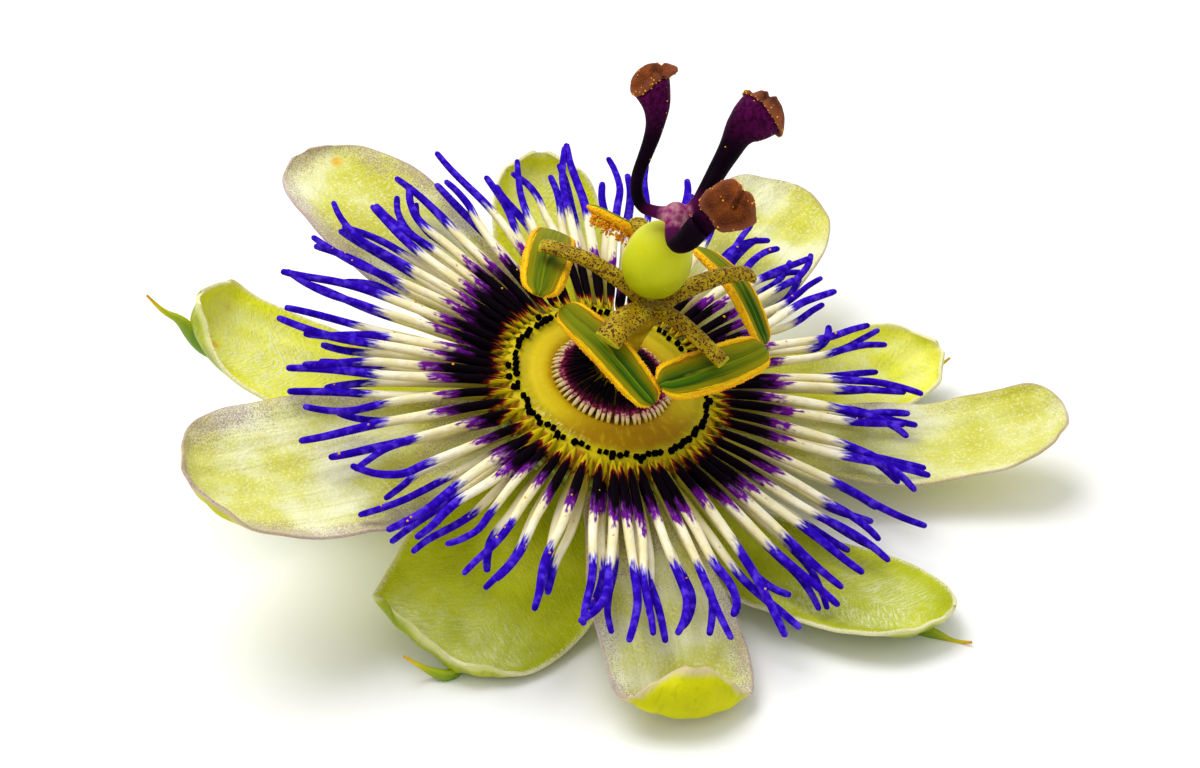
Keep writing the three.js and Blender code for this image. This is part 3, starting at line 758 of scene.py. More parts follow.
def blade_points(blade, line, t, s, ripple):
    """Points of a blade's inner face at t from root to tip and s from -1 to 1 across."""
    r, h = line.at(t).T
    run, climb = line.direction(t).T
    angle = np.radians(blade["at"] + blade["swing"] * (1 - t))
    radial = np.stack([np.cos(angle), np.sin(angle), 0 * angle], axis=1)
    side = np.stack([-np.sin(angle), np.cos(angle), 0 * angle], axis=1)
    axis = np.array([0, 0, 1])
    normal = radial * -climb[:, None] + axis * run[:, None]
    bend = np.radians(blade["cup"][0] + (blade["cup"][1] - blade["cup"][0]) * ease(0.3, 0.95, t))
    clockwise = half_width(t, blade["half"][0], blade["full"][0])
    other = half_width(t, blade["half"][1], blade["full"][1])
    width = np.where(s < 0, clockwise, other)
    sideways = width * np.sin(bend * s) / bend
    sag = ROOT_R - np.sqrt(np.maximum(ROOT_R**2 - sideways**2, 0))
    sag *= 1 - ease(0, 0.25, t)
    lift = SKIN + width * (1 - np.cos(bend * s)) / bend + ripple
    points = radial * (r - sag)[:, None] + axis * h[:, None]
    points += side * sideways[:, None] + normal * lift[:, None]
    edge = np.minimum(width * (1 - np.abs(s)), (1 - t) * line.length)
    return points, np.stack([t * line.length, width * s, edge], axis=1)


# %% [markdown]
# A blade starts as a flat grid. Its points are moved by a formula, because a cupped outline
# along a curved rib has no operator of its own. A vertex group says where the tissue is thick,
# Solidify gives it that thickness below, with the back in its own material, and one level of
# subdivision rounds the rim. The waves of a margin grow towards the edge, as on real ones.

# %% Growing a blade
ROWS, COLUMNS = 62, 34


def grow_blade(name, thickness, rim, keel, materials):
    blade = BLADES[name]
    piece = primitive(
        bpy.ops.mesh.primitive_grid_add, name + "_blade",
        x_subdivisions=COLUMNS, y_subdivisions=ROWS, size=2,
    )
    flat = points_of(piece)
    t = np.sin((flat[:, 1] + 1) * math.pi / 4) ** 1.15
    s = -flat[:, 0]
    line = Line(blade["middle"])
    smooth, noted = blade_points(blade, line, t, s, 0)
    wave = grain(smooth, 5.0) * 0.5 * np.abs(s) ** 2.5 + grain(smooth, 1.6) * 0.1
    fold = 0.07 * np.cos(noted[:, 1] * 2.6 + grain(smooth, 6.0) * 2) * ease(0.02, 0.3, t)
    points, noted = blade_points(blade, line, t, s, (wave + fold) * ease(0.1, 0.4, t))
    set_points(piece, points)
    note(piece, "blade", noted)
    full = thickness + keel
    depth = rim + (thickness - rim) * (1 - np.abs(s) ** 3) * (1 - ease(0.9, 1, t))
    depth += keel * bell(s, 0.17) * (1 - ease(0.9, 1, t))
    group = piece.vertex_groups.new(name="thickness")
    for i, share in enumerate(depth / full):
        group.add([i], float(share), "REPLACE")
    for material in materials:
        piece.data.materials.append(material)
    apply_modifier(
        piece, "SOLIDIFY", thickness=full, offset=-1, vertex_group="thickness",
        thickness_vertex_group=0, material_offset=1, material_offset_rim=0,
    )
    apply_modifier(piece, "SUBSURF", levels=1, render_levels=1)
    piece.vertex_groups.clear()
    return piece, line


petals = [name for name in BLADES if name.startswith("petal")]
for name in petals:
    materials = [PETAL_INNER, PETAL_OUTER]
    piece, line = grow_blade(name, thickness=0.55, rim=0.28, keel=0.1, materials=materials)
    set_down(piece, "petal_cream", name)

# %% [markdown]
# A sepal has a keel along its back, which grows out into a little horn just under the tip.
# The horn is a rod laid along its own line.

# %% Sepals with their horns
awn_master = straight_rod("awn_master", sides=14, rings=26)


def under_rib(blade, line, t, depth):
    """A point below the rib, square to it."""
    (r, h), (run, climb) = line.at(np.array(t)), line.direction(np.array(t))
    return polar(r + climb * depth, blade["at"] + blade["swing"] * (1 - t), h - run * depth)


def grow_awn(name, line):
    blade = BLADES[name]
    r, h, aside = blade["awn"]
    end = polar(r, blade["at"], h) + polar(aside, blade["at"] + 90, 0)
    neck = under_rib(blade, line, 0.92, 1.45) * 0.9 + end * 0.1
    slim = neck * 0.5 + end * 0.5 - np.array((0, 0, 0.35))
    knots = [under_rib(blade, line, 0.74, 0.8), under_rib(blade, line, 0.85, 1.4), neck, slim, end]
    awn = copy_of(awn_master, name + "_awn")
    place = points_of(awn)
    note(awn, "blade", place)
    lay_along(awn, knots, [(0.4, 0.6), (0.62, 1.0), (0.5, 0.84), (0.25, 0.33), (0.11, 0.13)])
    awn.data.materials.append(AWN_GREEN)
    return awn


sepals = [name for name in BLADES if name.startswith("sepal")]
for name in sepals:
    materials = [SHADY_SEPALS.get(name, SEPAL_YELLOW), SEPAL_OUTER]
    piece, line = grow_blade(name, thickness=0.8, rim=0.35, keel=0.65, materials=materials)
    piece = joined([piece, grow_awn(name, line)], name + "_blade")
    set_down(piece, "sepal_green", name)
bpy.data.objects.remove(awn_master)

# %% [markdown]
# Under everything sits the green cup that carries the flower, with its short stalk. The cup
# is turned and the stalk is a rod. A voxel remesh makes one skin of them, which rounds the
# inside corner as growth does.

# %% Cup and stalk
STALK_R = 1.35
STALK_END = (-4.1, 12.4)
CUP_PROFILE = [
    (0, -9.3), (1.5, -9.25), (3.4, -8.9), (6.0, -7.8), (8.1, -6.4), (9.1, -5.2), (9.2, -4.6),
    (9.2, -2.55), (11.0, -2.47), (11.2, -2.3), (11.15, -1.85), (10.5, -1.8), (10.5, -2.2), (0, -2.2),
]


def cup_green():
    paint = Paint("cup_green", 0.5)
    flower = paint.flower()
    clouds = paint.noise(flower, 3.0, 3.0)
    paint.body = paint.ramp(clouds, [(0.3, "7E9420"), (0.55, "98AA35"), (0.75, "B3BD5E")])
    fleck = paint.noise(flower, 0.35, 2.0)
    paint.over(paint.ease(fleck, 0.58, 0.7, 0.0, 0.5), "D3D79A")
    paint.bump(paint.noise(flower, 0.9, 3.0), 0.2)
    paint.bump(fleck, 0.05)
    return paint.done()


cup = turned("cup_and_stalk", CUP_PROFILE, steps=72)
stalk = straight_rod("stalk", sides=28, rings=40)
stalk_foot = from_table(*STALK_END, STALK_R - 0.12)
root_place = PLACE @ Vector((0, 0, -7.8)) / MM
neck_place = PLACE @ Vector((0.1, 0.3, -9.8)) / MM
knee_place = (neck_place.x * 0.55 + STALK_END[0] * 0.45, neck_place.y * 0.55 + STALK_END[1] * 0.45)
knee = from_table(*knee_place, STALK_R + 0.35)
stalk_up = np.array(PLACE.to_3x3().inverted() @ Vector((1, 0, 0)))
lay_along(
    stalk, [from_table(*root_place), from_table(*neck_place), knee, stalk_foot],
    [(STALK_R, STALK_R), (STALK_R, STALK_R)], up=stalk_up,
)
cup = joined([cup, stalk], "cup_and_stalk")
grown_together(cup, voxel_size=0.24, smoothing=4)
cup.data.materials.append(cup_green())
set_down(cup, "receptacle_green", "receptacle")

# %% [markdown]
# The disc is the yellow cushion in the middle. Its profile is spun round the axis. Inside the
# ring of knobs it swells up towards the fringe, and the side of the swelling that faces away
# from the light turns ochre. The right of the disc is olive, and short cream hairs line it at
# the front left, painted paler there as a painted highlight on their ridges.

# %% Disc
DISC_BOTTOM = -1.88
NECTAR_FLOOR = -1.5
DISC_KNOTS = [
    (10.08, -1.85), (10.1, -1.2), (9.95, -0.6), (9.7, -0.22), (9.35, -0.02), (8.9, 0.03),
    (8.4, -0.06), (8.0, 0.0), (7.5, 0.17), (7.1, 0.31), (6.8, 0.4), (6.5, 0.51), (6.2, 0.57),
    (5.9, 0.55), (5.6, 0.46), (5.2, 0.26), (4.8, 0.08), (4.5, -0.1), (4.3, -0.8), (4.1, -1.4),
]


def disc_yellow():
    paint = Paint("disc_yellow", 0.5, Specular_IOR_Level=0.12)
    flower = paint.flower()
    x, y = paint.parts(flower, "XY")
    r = paint.length(x, y)
    turn = paint.math("ARCTAN2", y, x)
    wander = paint.noise(flower, 1.6, 3.0)
    place = paint.plus(r, paint.shift(wander, 0.12))
    # The ramp's darker band at about 8 mm from the axis is painted shade in the groove at the foot of the
    # swelling.
    paint.body = paint.ramp(
        paint.share(place, 3.0, 11.0),
        [
            (0.0, "5E4604"), (0.19, "8A6A04"), (0.32, "C09A06"), (0.4, "D6BA04"), (0.54, "DCC404"),
            (0.61, "C2AE06"), (0.65, "BCAE08"), (0.7, "D0C00A"), (0.8, "CEBE0A"), (0.88, "C4B00C"),
        ],
    )
    away = paint.math("MULTIPLY_ADD", x, 0.48, paint.times(y, -0.88))
    shaded = paint.ease(away, 2.8, 6.6, 0.0, 0.85)
    paint.over(paint.ease(x, 2.0, 7.0, 0.0, 0.5), "A89A04")
    swelling = paint.ease(place, 7.6, 8.5, 1.0, 0.0)
    paint.over(paint.times(shaded, swelling), "9C6C02")
    rays = paint.noise(paint.vector(paint.times(turn, 12.0), r, 0.0), 1.0, 2.0)
    paint.over(paint.ease(rays, 0.52, 0.7, 0.0, 0.25), "E0CE18")
    hairs = paint.noise(paint.vector(paint.times(turn, 30.0), r, 0.0), 1.0, 1.0)
    band = paint.times(paint.ease(r, 7.6, 7.9), paint.ease(r, 8.3, 8.6, 1.0, 0.0))
    band = paint.times(band, paint.ease(turn, -2.45, -2.15))
    band = paint.times(band, paint.ease(turn, -1.85, -1.5, 1.0, 0.0))
    # The pale streaks are the hairs' cream colour together with a painted highlight on their ridges.
    pale_hairs_and_highlight = paint.times(band, paint.ease(hairs, 0.5, 0.6, 0.0, 0.7))
    paint.over(pale_hairs_and_highlight, "EEE07A")
    strokes = paint.math("MULTIPLY_ADD", paint.ease(rays, 0.35, 0.65), 1.1, r)
    paint.over(paint.ease(strokes, 10.2, 10.7, 0.0, 0.7), "A84810")
    paint.bump(wander, 0.1)
    paint.bump(rays, 0.06)
    paint.bump(pale_hairs_and_highlight, 0.08)
    return paint.done()


def ridges(points):
    """How far the fine ridges beside the knobs stand out, at the front of the disc."""
    r = np.hypot(points[:, 0], points[:, 1])
    turn = np.degrees(np.arctan2(points[:, 1], points[:, 0])) % 360
    where = ease(7.5, 8.0, r) * ease(8.7, 8.3, r) * ease(70, 35, np.abs(turn - 245))
    return where * (0.05 + 0.05 * np.cos(np.radians(turn * 72)) + 0.05 * grain(points, 0.6))


disc_profile = [(0, DISC_BOTTOM), (5.0, DISC_BOTTOM), (9.9, DISC_BOTTOM)]
disc_profile += [tuple(knot) for knot in through(DISC_KNOTS, np.linspace(0, 1, 76))]
disc_profile += [(3.9, NECTAR_FLOOR), (0, NECTAR_FLOOR)]
disc = turned("disc_and_knobs", disc_profile, steps=240)
points = points_of(disc)
points[:, 2] += ridges(points) * (points[:, 2] > -0.6)
set_points(disc, points)
disc.data.materials.append(disc_yellow())
print("disc:", len(disc.data.polygons), "faces")

# %% [markdown]
# Little black knobs stand on the disc in a broken ring, in runs of one to five, with a few
# strays further out, most of them in front. A knob is a cube with its edges bevelled.

# %% Ring of knobs
DOT_RING_R = 8.93
DOT_SIZE = 0.47
STRAYS = (150, 196, 204, 212, 231, 240, 252, 284, 300)


def knob_black():
    paint = Paint("knob_black", 0.7, Specular_IOR_Level=0.02)
    fleck = paint.noise(paint.flower(), 0.3, 2.0)
    paint.bump(fleck, 0.06)
    paint.body = paint.ramp(fleck, [(0.4, "010001"), (0.75, "060104")])
    return paint.done()


knob_master = primitive(bpy.ops.mesh.primitive_cube_add, "knob_master", size=1)
bpy.ops.object.mode_set(mode="EDIT")
bpy.ops.mesh.select_all(action="SELECT")
bpy.ops.mesh.bevel(offset=0.18, segments=2, affect="EDGES")
bpy.ops.object.mode_set(mode="OBJECT")
knob_master.data.materials.append(knob_black())

draw = random.Random(41)


def add_knob(r, at):
    knob = copy_of(knob_master, "knob")
    size = DOT_SIZE * draw.uniform(0.85, 1.15)
    turn = Matrix.Rotation(math.radians(at) + draw.uniform(-0.5, 0.5), 4, "Z")
    stretch = Matrix.Diagonal((size * draw.uniform(0.8, 1.2), size, size, 1))
    place = Matrix.Translation(polar(r, at, 0.12 + draw.uniform(0, 0.12)))
    knob.data.transform(place @ turn @ stretch)
    return knob


knobs = [add_knob(DOT_RING_R + draw.uniform(0.4, 0.6), at) for at in STRAYS]
at = 0.0
while at < 357:
    for _ in range(draw.choice((1, 2, 2, 3, 4, 5))):
        knobs.append(add_knob(DOT_RING_R + draw.uniform(-0.2, 0.2), at))
        at += draw.uniform(3.6, 4.3)
    at += draw.uniform(1.2, 3.4)
disc = joined([disc, *knobs], "disc_and_knobs")
bpy.data.objects.remove(knob_master)
print("knobs:", len(knobs))
set_down(disc, "disc_yellow", "disc")

# %% [markdown]
# The fringe is a ring of small teeth round the column. Each grows from a round cream foot,
# turns magenta and ends in a dark purple point that leans in over the nectar.

# %% Fringe
FRINGE_TEETH = 58


def fringe_purple():
    paint = Paint("fringe_purple", 0.6, Specular_IOR_Level=0.03)
    (share,) = paint.parts(paint.noted("strand"), "X")
    fray = paint.noise(paint.flower(), 0.3, 2.0)
    place = paint.plus(share, paint.shift(fray, 0.06))
    paint.body = paint.ramp(
        place,
        [
            (0.0, "D2B010"), (0.05, "DEC452"), (0.12, "F2E0A0"), (0.2, "ECC8A8"), (0.27, "9C2C5C"),
            (0.34, "5C0834"), (0.46, "1A0212"), (0.6, "060006"), (1.0, "040004"),
        ],
    )
    paint.bump(fray, 0.04)
    return paint.done()


FRINGE_PURPLE = fringe_purple()
tooth_master = straight_rod("tooth_master", sides=8, rings=16)
draw = random.Random(7)
teeth = []
for i in range(FRINGE_TEETH):
    at = (i + 0.3 * draw.random()) * 360 / FRINGE_TEETH
    rise = draw.uniform(0.5, 1.0)
    lean = draw.uniform(-5, 5)
    tooth = copy_of(tooth_master, "tooth")
    note(tooth, "strand", points_of(tooth))
    knots = [
        polar(5.6, at, 0.36), polar(5.2, at, 0.74), polar(4.4, at, 1.05),
        polar(3.4, at + lean * 0.4, 1.3 + 0.3 * rise), polar(2.1, at + lean, 1.3 + rise),
    ]
    stout = draw.uniform(0.85, 1.15)
    radii = [(w * stout, w * stout) for w in (0.12, 0.2, 0.17, 0.22, 0.08)]
    lay_along(tooth, knots, radii)
    tooth.data.materials.append(FRINGE_PURPLE)
    teeth.append(tooth)
fringe = joined(teeth, "fringe_teeth")
bpy.data.objects.remove(tooth_master)
set_down(fringe, "fringe_purple", "fringe")

# %% [markdown]
# The corona is two ranks of long filaments. A filament is purple-black near its root, where
# red strokes fray out over the yellow, then cream-white, then a bright violet-blue up to its
# rounded, often crooked tip. Most of those in the lower rank stay green and yellow at the
# root, which shows between the dark ones. At the front left the yellow of the roots reaches
# further out. The note called strand holds the distance from the axis, the place across the
# filament and a number of its own, which shifts the borders. The borders are frayed along the
# filament, so the noise for them is long that way and narrow.

# %% Corona finish
def filament_paint(name, dark_share, dark_end, root_colour):
    paint = Paint(name, 0.7, Specular_IOR_Level=0.03)
    strand = paint.noted("strand")
    reach, across, own = paint.parts(strand)
    flower = paint.flower()
    brushed = paint.streaks(strand, (1.3, 0.45, 0.03), 2.0)
    ragged = paint.shift(brushed, 1.0)
    sides = paint.times(across, across)
    offset = paint.math("MULTIPLY_ADD", own, 2.4, -1.2)
    slant = paint.times(across, paint.math("MULTIPLY_ADD", own, 1.2, -0.6))
    moved = paint.plus(paint.plus(reach, offset), slant)

    tone = paint.noise(flower, 2.5, 2.0)
    cream = paint.ramp(tone, [(0.35, "EEE4B2"), (0.55, "F7F0D0"), (0.75, "FCF8E4")])
    # Towards both sides of a filament the cream darkens to yellow: painted shade on its round flanks.
    cream = paint.mix(paint.ease(sides, 0.35, 1.0, 0.0, 0.5), cream, tint("DCCB7A"))
    cream = paint.mix(paint.ease(reach, 12.5, 19.5, 1.0, 0.0), cream, tint(root_colour))
    fleck = paint.noise(flower, 0.8, 2.0)
    blue = paint.ramp(fleck, [(0.3, "1C0094"), (0.5, "2E06B8"), (0.72, "5838DC")])
    border = paint.math("MULTIPLY_ADD", ragged, 0.55, moved)
    paint.body = paint.mix(paint.ease(border, 20.9, 22.3), cream, blue)

    has_dark = paint.math("GREATER_THAN", own, 1.0 - dark_share)
    end = paint.math("MULTIPLY_ADD", ragged, 0.6, paint.math("MULTIPLY_ADD", sides, 1.0, moved))
    spots = paint.streaks(strand, (0.7, 0.6, 0.03), 1.0)
    halo = paint.ease(end, dark_end, dark_end + 2.2, 1.0, 0.0)
    halo = paint.plus(halo, paint.ease(spots, 0.35, 0.65, -0.25, 0.25))
    violet = paint.times(paint.ease(halo, 0.1, 0.9), has_dark)
    paint.over(violet, "6E1290")
    core = paint.times(paint.ease(end, dark_end - 1.2, dark_end + 0.5, 1.0, 0.0), has_dark)
    paint.over(core, "070008")

    x, y = paint.parts(flower, "XY")
    in_front = paint.ease(paint.math("MULTIPLY_ADD", x, 0.37, y), -10.5, -7.0, -0.95, 0.0)
    root = paint.plus(reach, in_front)
    frayed = paint.math("MULTIPLY_ADD", ragged, 0.45, paint.math("MULTIPLY_ADD", sides, -0.9, root))
    paint.over(paint.ease(frayed, 10.2, 10.7, 1.0, 0.0), "6C1214")
    paint.over(paint.ease(frayed, 9.95, 10.25, 1.0, 0.0), "B4641C")
    paint.over(paint.ease(frayed, 9.75, 10.0, 1.0, 0.0), "CCBA0E")
    paint.bump(brushed, 0.05)
    paint.bump(fleck, 0.03)
    return paint.done()


CORONA_ROOT_R = 9.35
LEVEL_R = 11.6  # radius from which a filament runs level
CORONA_REACH = 30.2
FILAMENTS = 60
RANKS = {
    "corona_upper": dict(
        root=(CORONA_ROOT_R, 0.03), height=0.15, thick=0.36, reach=CORONA_REACH, seed=11, offset=0.0,
        dark_share=1.0, dark_end=16.0, root_colour="E6D890",
    ),
    "corona_lower": dict(
        root=(9.6, -0.2), height=-1.15, thick=0.32, reach=CORONA_REACH - 1.6, seed=23, offset=0.5,
        dark_share=0.35, dark_end=15.0, root_colour="BEB03A",
    ),
}
print("ranks:", len(RANKS), "with", FILAMENTS, "filaments each")

# %% [markdown]
# One filament is modelled once, as a straight rod of 8 sides whose rings crowd together at
# the tip. Each copy gets a line of its own. Neighbours lean towards each other in pairs, the
# line wanders more and more towards the tip, and about one in four ends in a hook. Seen from
# above, the filaments aren't spaced evenly either, but crowd at some places and part at others.

# %% Filaments
FILAMENT_WIDTHS = [0.12, 0.38, 0.44, 0.47, 0.48, 0.46, 0.43, 0.41, 0.39, 0.37, 0.34, 0.31]
CROWD_FROM = 0.86  # share of the length from which the rings crowd together

filament_master = straight_rod("filament_master", sides=8, rings=34)
place = points_of(filament_master)
late = np.clip((place[:, 0] - CROWD_FROM) / (1 - CROWD_FROM), 0, 1)
place[:, 0] += (np.sin(late * math.pi / 2) - late) * (1 - CROWD_FROM)
set_points(filament_master, place)


def crowded(at):
    """Where a filament stands that would be at this angle if all were spaced evenly."""
    return at + 2.0 * math.sin(math.radians(3 * at + 40)) + 1.3 * math.sin(math.radians(8 * at))


def filament_knots(draw, rank, at, lean):
    """The line of one filament from its root to its tip."""
    height = rank["height"]
    tip = rank["reach"] + draw.uniform(-2.6, 1.5)
    swing = lean + draw.uniform(-2.4, 2.4)
    rise = draw.uniform(-0.2, 0.45)
    wave = draw.uniform(0, math.tau)
    sway = draw.uniform(0.15, 0.75)
    hook = draw.choice((0, 0, 0, 0, 0, 0, -1, 1)) * draw.uniform(0.9, 2.2)
    root_r, root_h = rank["root"]
    knots = [
        polar(root_r, at, root_h), polar(10.5, at, (root_h + height) / 2), polar(LEVEL_R, at, height),
    ]
    for k in range(1, 9):
        share = k / 8
        r = LEVEL_R + (tip - LEVEL_R) * share
        aside = sway * math.sin(wave + share * 6.5) * ease(0.3, 1.0, share)
        aside += hook * ease(0.78, 1.0, share)
        r -= abs(hook) * 0.4 * ease(0.85, 1.0, share)
        h = height + 0.15 + rise * share**2
        knots.append(polar(r, at + swing * share**1.8, h) + polar(aside, at + 90, 0))
    return knots


filament_lines = {name: [] for name in RANKS}


def corona_rank(name):
    rank = RANKS[name]
    draw = random.Random(rank["seed"])
    material = filament_paint(
        name + "_filament", rank["dark_share"], rank["dark_end"], rank["root_colour"]
    )
    filaments = []
    for i in range(FILAMENTS):
        at = crowded((i + rank["offset"] + draw.uniform(-0.2, 0.2)) * 360 / FILAMENTS)
        knots = filament_knots(draw, rank, at, 1.7 if i % 2 == 0 else -1.7)
        filament = copy_of(filament_master, "filament")
        place = points_of(filament)
        length = Line(knots).length
        own = np.full(len(place), draw.random())
        noted = np.stack([CORONA_ROOT_R + place[:, 0] * length, place[:, 1], own], axis=1)
        note(filament, "strand", noted)
        stout = draw.uniform(0.84, 1.12)
        radii = [(w * stout, min(rank["thick"], w * 0.9)) for w in FILAMENT_WIDTHS]
        filament_lines[name].append(lay_along(filament, knots, radii, rounded=True))
        filament.data.materials.append(material)
        filaments.append(filament)
    return joined(filaments, name + "_filaments")


# %% [markdown]
# Pollen lies as loose orange grains wherever it fell. One grain is a tiny ball, and each copy
# is joined to the piece that it sticks to. Most of it is still on the anthers.

# %% Pollen
def pollen_orange():
    paint = Paint("pollen_orange", 0.65, Specular_IOR_Level=0.3)
    tone = paint.noise(paint.flower(), 0.5, 2.0)
    paint.body = paint.ramp(tone, [(0.35, "F89A04"), (0.6, "FFB408"), (0.8, "FFCC24")])
    return paint.done()


POLLEN_COUNTS = {"rank": 46, "pod": 220, "fur": 620, "styles": 34, "cap rim": 45, "cap": 12}
POLLEN_ORANGE = pollen_orange()
grain_master = primitive(bpy.ops.mesh.primitive_ico_sphere_add, "grain_master", subdivisions=1, radius=1)
grain_master.data.materials.append(POLLEN_ORANGE)


def pollen_at(places, draw, small, large):
    """Pollen grains at these places, as a list of pieces to join."""
    grains = []
    for place in places:
        size = draw.uniform(small, large)
        pollen = copy_of(grain_master, "pollen")
        turn = Matrix.Rotation(draw.uniform(0, math.tau), 4, (draw.random(), draw.random(), 1))
        stretch = Matrix.Diagonal((size, size * draw.uniform(0.7, 1.0), size * 0.9, 1))
        pollen.data.transform(Matrix.Translation(place) @ turn @ stretch)
        grains.append(pollen)
    return grains


print("a grain of pollen:", len(grain_master.data.polygons), "faces")

# %% [markdown]
# The upper rank reaches a little further out than the lower one, and its filaments are all
# dark at the root. Some pollen has fallen on both.

# %% Two ranks of filaments, with pollen on some
draw = random.Random(5)
for name in RANKS:
    corona = corona_rank(name)
    fallen = []
    for _ in range(POLLEN_COUNTS["rank"]):
        line = draw.choice(filament_lines[name])
        spot = line.at(draw.uniform(0.2, 0.95))
        fallen.append(spot + np.array([draw.uniform(-0.2, 0.2), draw.uniform(-0.2, 0.2), 0.34]))
    corona = joined([corona, *pollen_at(fallen, draw, small=0.07, large=0.15)], corona.name)
    set_down(corona, "filament_violet", name)
bpy.data.objects.remove(filament_master)

# %% [markdown]
# The column rises from the middle of the disc and carries five broad stamen stalks, densely
# freckled with purple, and the ovary. A remesh joins column and stalks into one skin. After
# it, each point looks up the nearest of the lines again, to know how far out it is.

# %% Column and stamens
COLUMN_TOP = (0.9, 0.0, 10.9)
REAR_STALK = [(0.9, 0.7), (0.9, 0.62), (0.85, 0.45)]
STAMENS = [
    dict(
        knots=[(0.6, 0, 10.3), (-1.6, 0.3, 11.3), (-5.2, 0.9, 11.9), (-8.6, 1.3, 11.6), (-9.9, 1.4, 11.2)],
        radii=[(0.9, 0.7), (0.85, 0.62), (0.85, 0.45)],
    ),
    dict(
        knots=[(0.9, -0.4, 10.2), (0.1, -2.4, 11.1), (-0.9, -4.6, 11.2), (-1.6, -6.5, 10.4)],
        radii=[(0.9, 0.7), (1.35, 0.6), (1.3, 0.45)],
    ),
    dict(
        knots=[(1.2, -0.3, 10.3), (3.3, -1.6, 11.2), (6.0, -3.0, 11.1), (8.6, -4.0, 10.4)],
        radii=[(0.9, 0.7), (0.85, 0.6), (0.85, 0.45)],
    ),
    dict(
        knots=[(1.3, 0.2, 10.3), (3.2, 2.0, 11.5), (5.8, 4.6, 12.2), (7.9, 6.4, 12.0), (8.5, 6.9, 11.4)],
        radii=REAR_STALK,
    ),
    dict(
        knots=[(0.7, 0.6, 10.3), (-0.1, 3.0, 11.3), (-1.5, 6.6, 11.7), (-2.7, 9.0, 11.3)],
        radii=REAR_STALK,
    ),
]


def nearest_share(points, lines):
    """For each point, the share along the nearest line where it comes closest."""
    shares = np.linspace(0, 1, 80)
    near, where = [], []
    for line in lines:
        gaps = np.linalg.norm(points[:, None] - line.at(shares)[None], axis=2)
        near.append(gaps.min(1))
        where.append(shares[gaps.argmin(1)])
    return np.stack(where)[np.argmin(near, axis=0), np.arange(len(points))]


def stamen_olive():
    paint = Paint("stamen_olive", 0.55, Specular_IOR_Level=0.12)
    share, freckled = paint.parts(paint.noted("stamen"), "XY")
    flower = paint.flower()
    clouds = paint.noise(flower, 1.2, 3.0)
    paint.body = paint.ramp(clouds, [(0.32, "8C7004"), (0.52, "AA8C08"), (0.74, "C8B01C")])
    fine = paint.noise(flower, 0.3, 2.0)
    fine_size = paint.ease(fine, 0.3, 0.62, 0.22, 0.58)
    fine_dots = paint.ease(paint.minus(fine_size, paint.cells(flower, 0.19)), 0.0, 0.1)
    coarse_size = paint.ease(clouds, 0.35, 0.65, 0.08, 0.36)
    coarse_dots = paint.ease(paint.minus(coarse_size, paint.cells(flower, 0.55)), 0.0, 0.06)
    specks = paint.times(paint.math("MAXIMUM", fine_dots, coarse_dots), freckled)
    paint.over(paint.times(specks, 0.9), "3E0A10")
    cut = paint.math("MULTIPLY_ADD", paint.noise(flower, 0.5, 2.0), 0.06, share)
    paint.over(paint.ease(cut, 0.99, 1.015, 0.0, 0.75), "BCB618")
    paint.bump(fine, 0.04)
    paint.bump(clouds, 0.15)
    return paint.done()


rod_master = straight_rod("rod_master", sides=24, rings=30)
column = copy_of(rod_master, "column")
column_radii = [(1.55, 1.55), (1.1, 1.1), (1.1, 1.1), (1.45, 1.45)]
lay_along(column, [(0, 0, NECTAR_FLOOR), (0.25, 0, 5), COLUMN_TOP], column_radii, up=(0, 1, 0))
stamen_rods, stamen_lines = [], []
for stamen in STAMENS:
    rod = copy_of(rod_master, "stamen")
    stamen_lines.append(lay_along(rod, stamen["knots"], stamen["radii"]))
    stamen_rods.append(rod)
column = joined([column, *stamen_rods], "column_and_stamens")
grown_together(column, voxel_size=0.13, smoothing=4)
points = points_of(column)
share = nearest_share(points, stamen_lines)
freckled = ease(9.4, 10.4, points[:, 2])
note(column, "stamen", np.stack([share, freckled, 0 * share], axis=1))
column.data.materials.append(stamen_olive())
set_down(column, "stamen_olive", "androgynophore")

# %% [markdown]
# An anther is a flat, blunt pod that has split along both edges and shows its pollen there.
# Its back is green with dark furrows. The rod is pressed to a pod by a formula that lowers the
# furrows and swells the two edges, and is then laid along the anther's own line. Grains of
# pollen stick to the split edges. The fifth anther hangs over, so its pollen makes a thick fur.

# %% Anthers
ANTHERS = {
    "anther_1": dict(
        knots=[(-9.2, 8.4, 7.2), (-9.0, 2.6, 9.5), (-8.5, -3.6, 10.2)],
        back=(0.0, 0.3, 1.0), half=2.2, yellow=(0.75, 0.3),
    ),
    "anther_2": dict(
        knots=[(-6.2, -2.6, 8.9), (-1.2, -5.9, 9.0), (4.0, -9.0, 7.75)],
        back=(-0.15, -0.5, 1.0), half=1.7, yellow=(0.55, 0.0),
    ),
    "anther_3": dict(
        knots=[(3.9, -8.3, 9.4), (8.0, -3.4, 8.9), (11.7, 1.4, 8.9)],
        back=(0.1, -0.3, 1.0), half=2.1, yellow=(0.0, 0.55),
    ),
    "anther_4": dict(
        knots=[(3.2, 10.4, 9.5), (7.6, 7.2, 9.5), (11.6, 3.6, 7.4)],
        back=(0.5, 0.1, 0.85), half=1.9, yellow=(0.6, 0.0),
    ),
    "anther_5": dict(
        knots=[(-7.4, 10.3, 9.8), (-3.0, 9.8, 9.4), (1.6, 9.4, 9.1)],
        back=(0.1, 0.7, 0.9), half=1.8, yellow=(0.6, 0.6),
    ),
}
POD_SHAPE = [(0.74, 0.4), (0.92, 0.54), (0.99, 0.6), (1.0, 0.62), (0.98, 0.6), (0.9, 0.54), (0.7, 0.4)]
FUR_HANGS = np.array([0, -0.25, -0.75])
FUR_LENGTH = 1.5
FURROWS = ((0.0, 0.07, 0.5), (0.2, 0.05, 0.16), (0.42, 0.08, 0.34), (0.6, 0.05, 0.14))


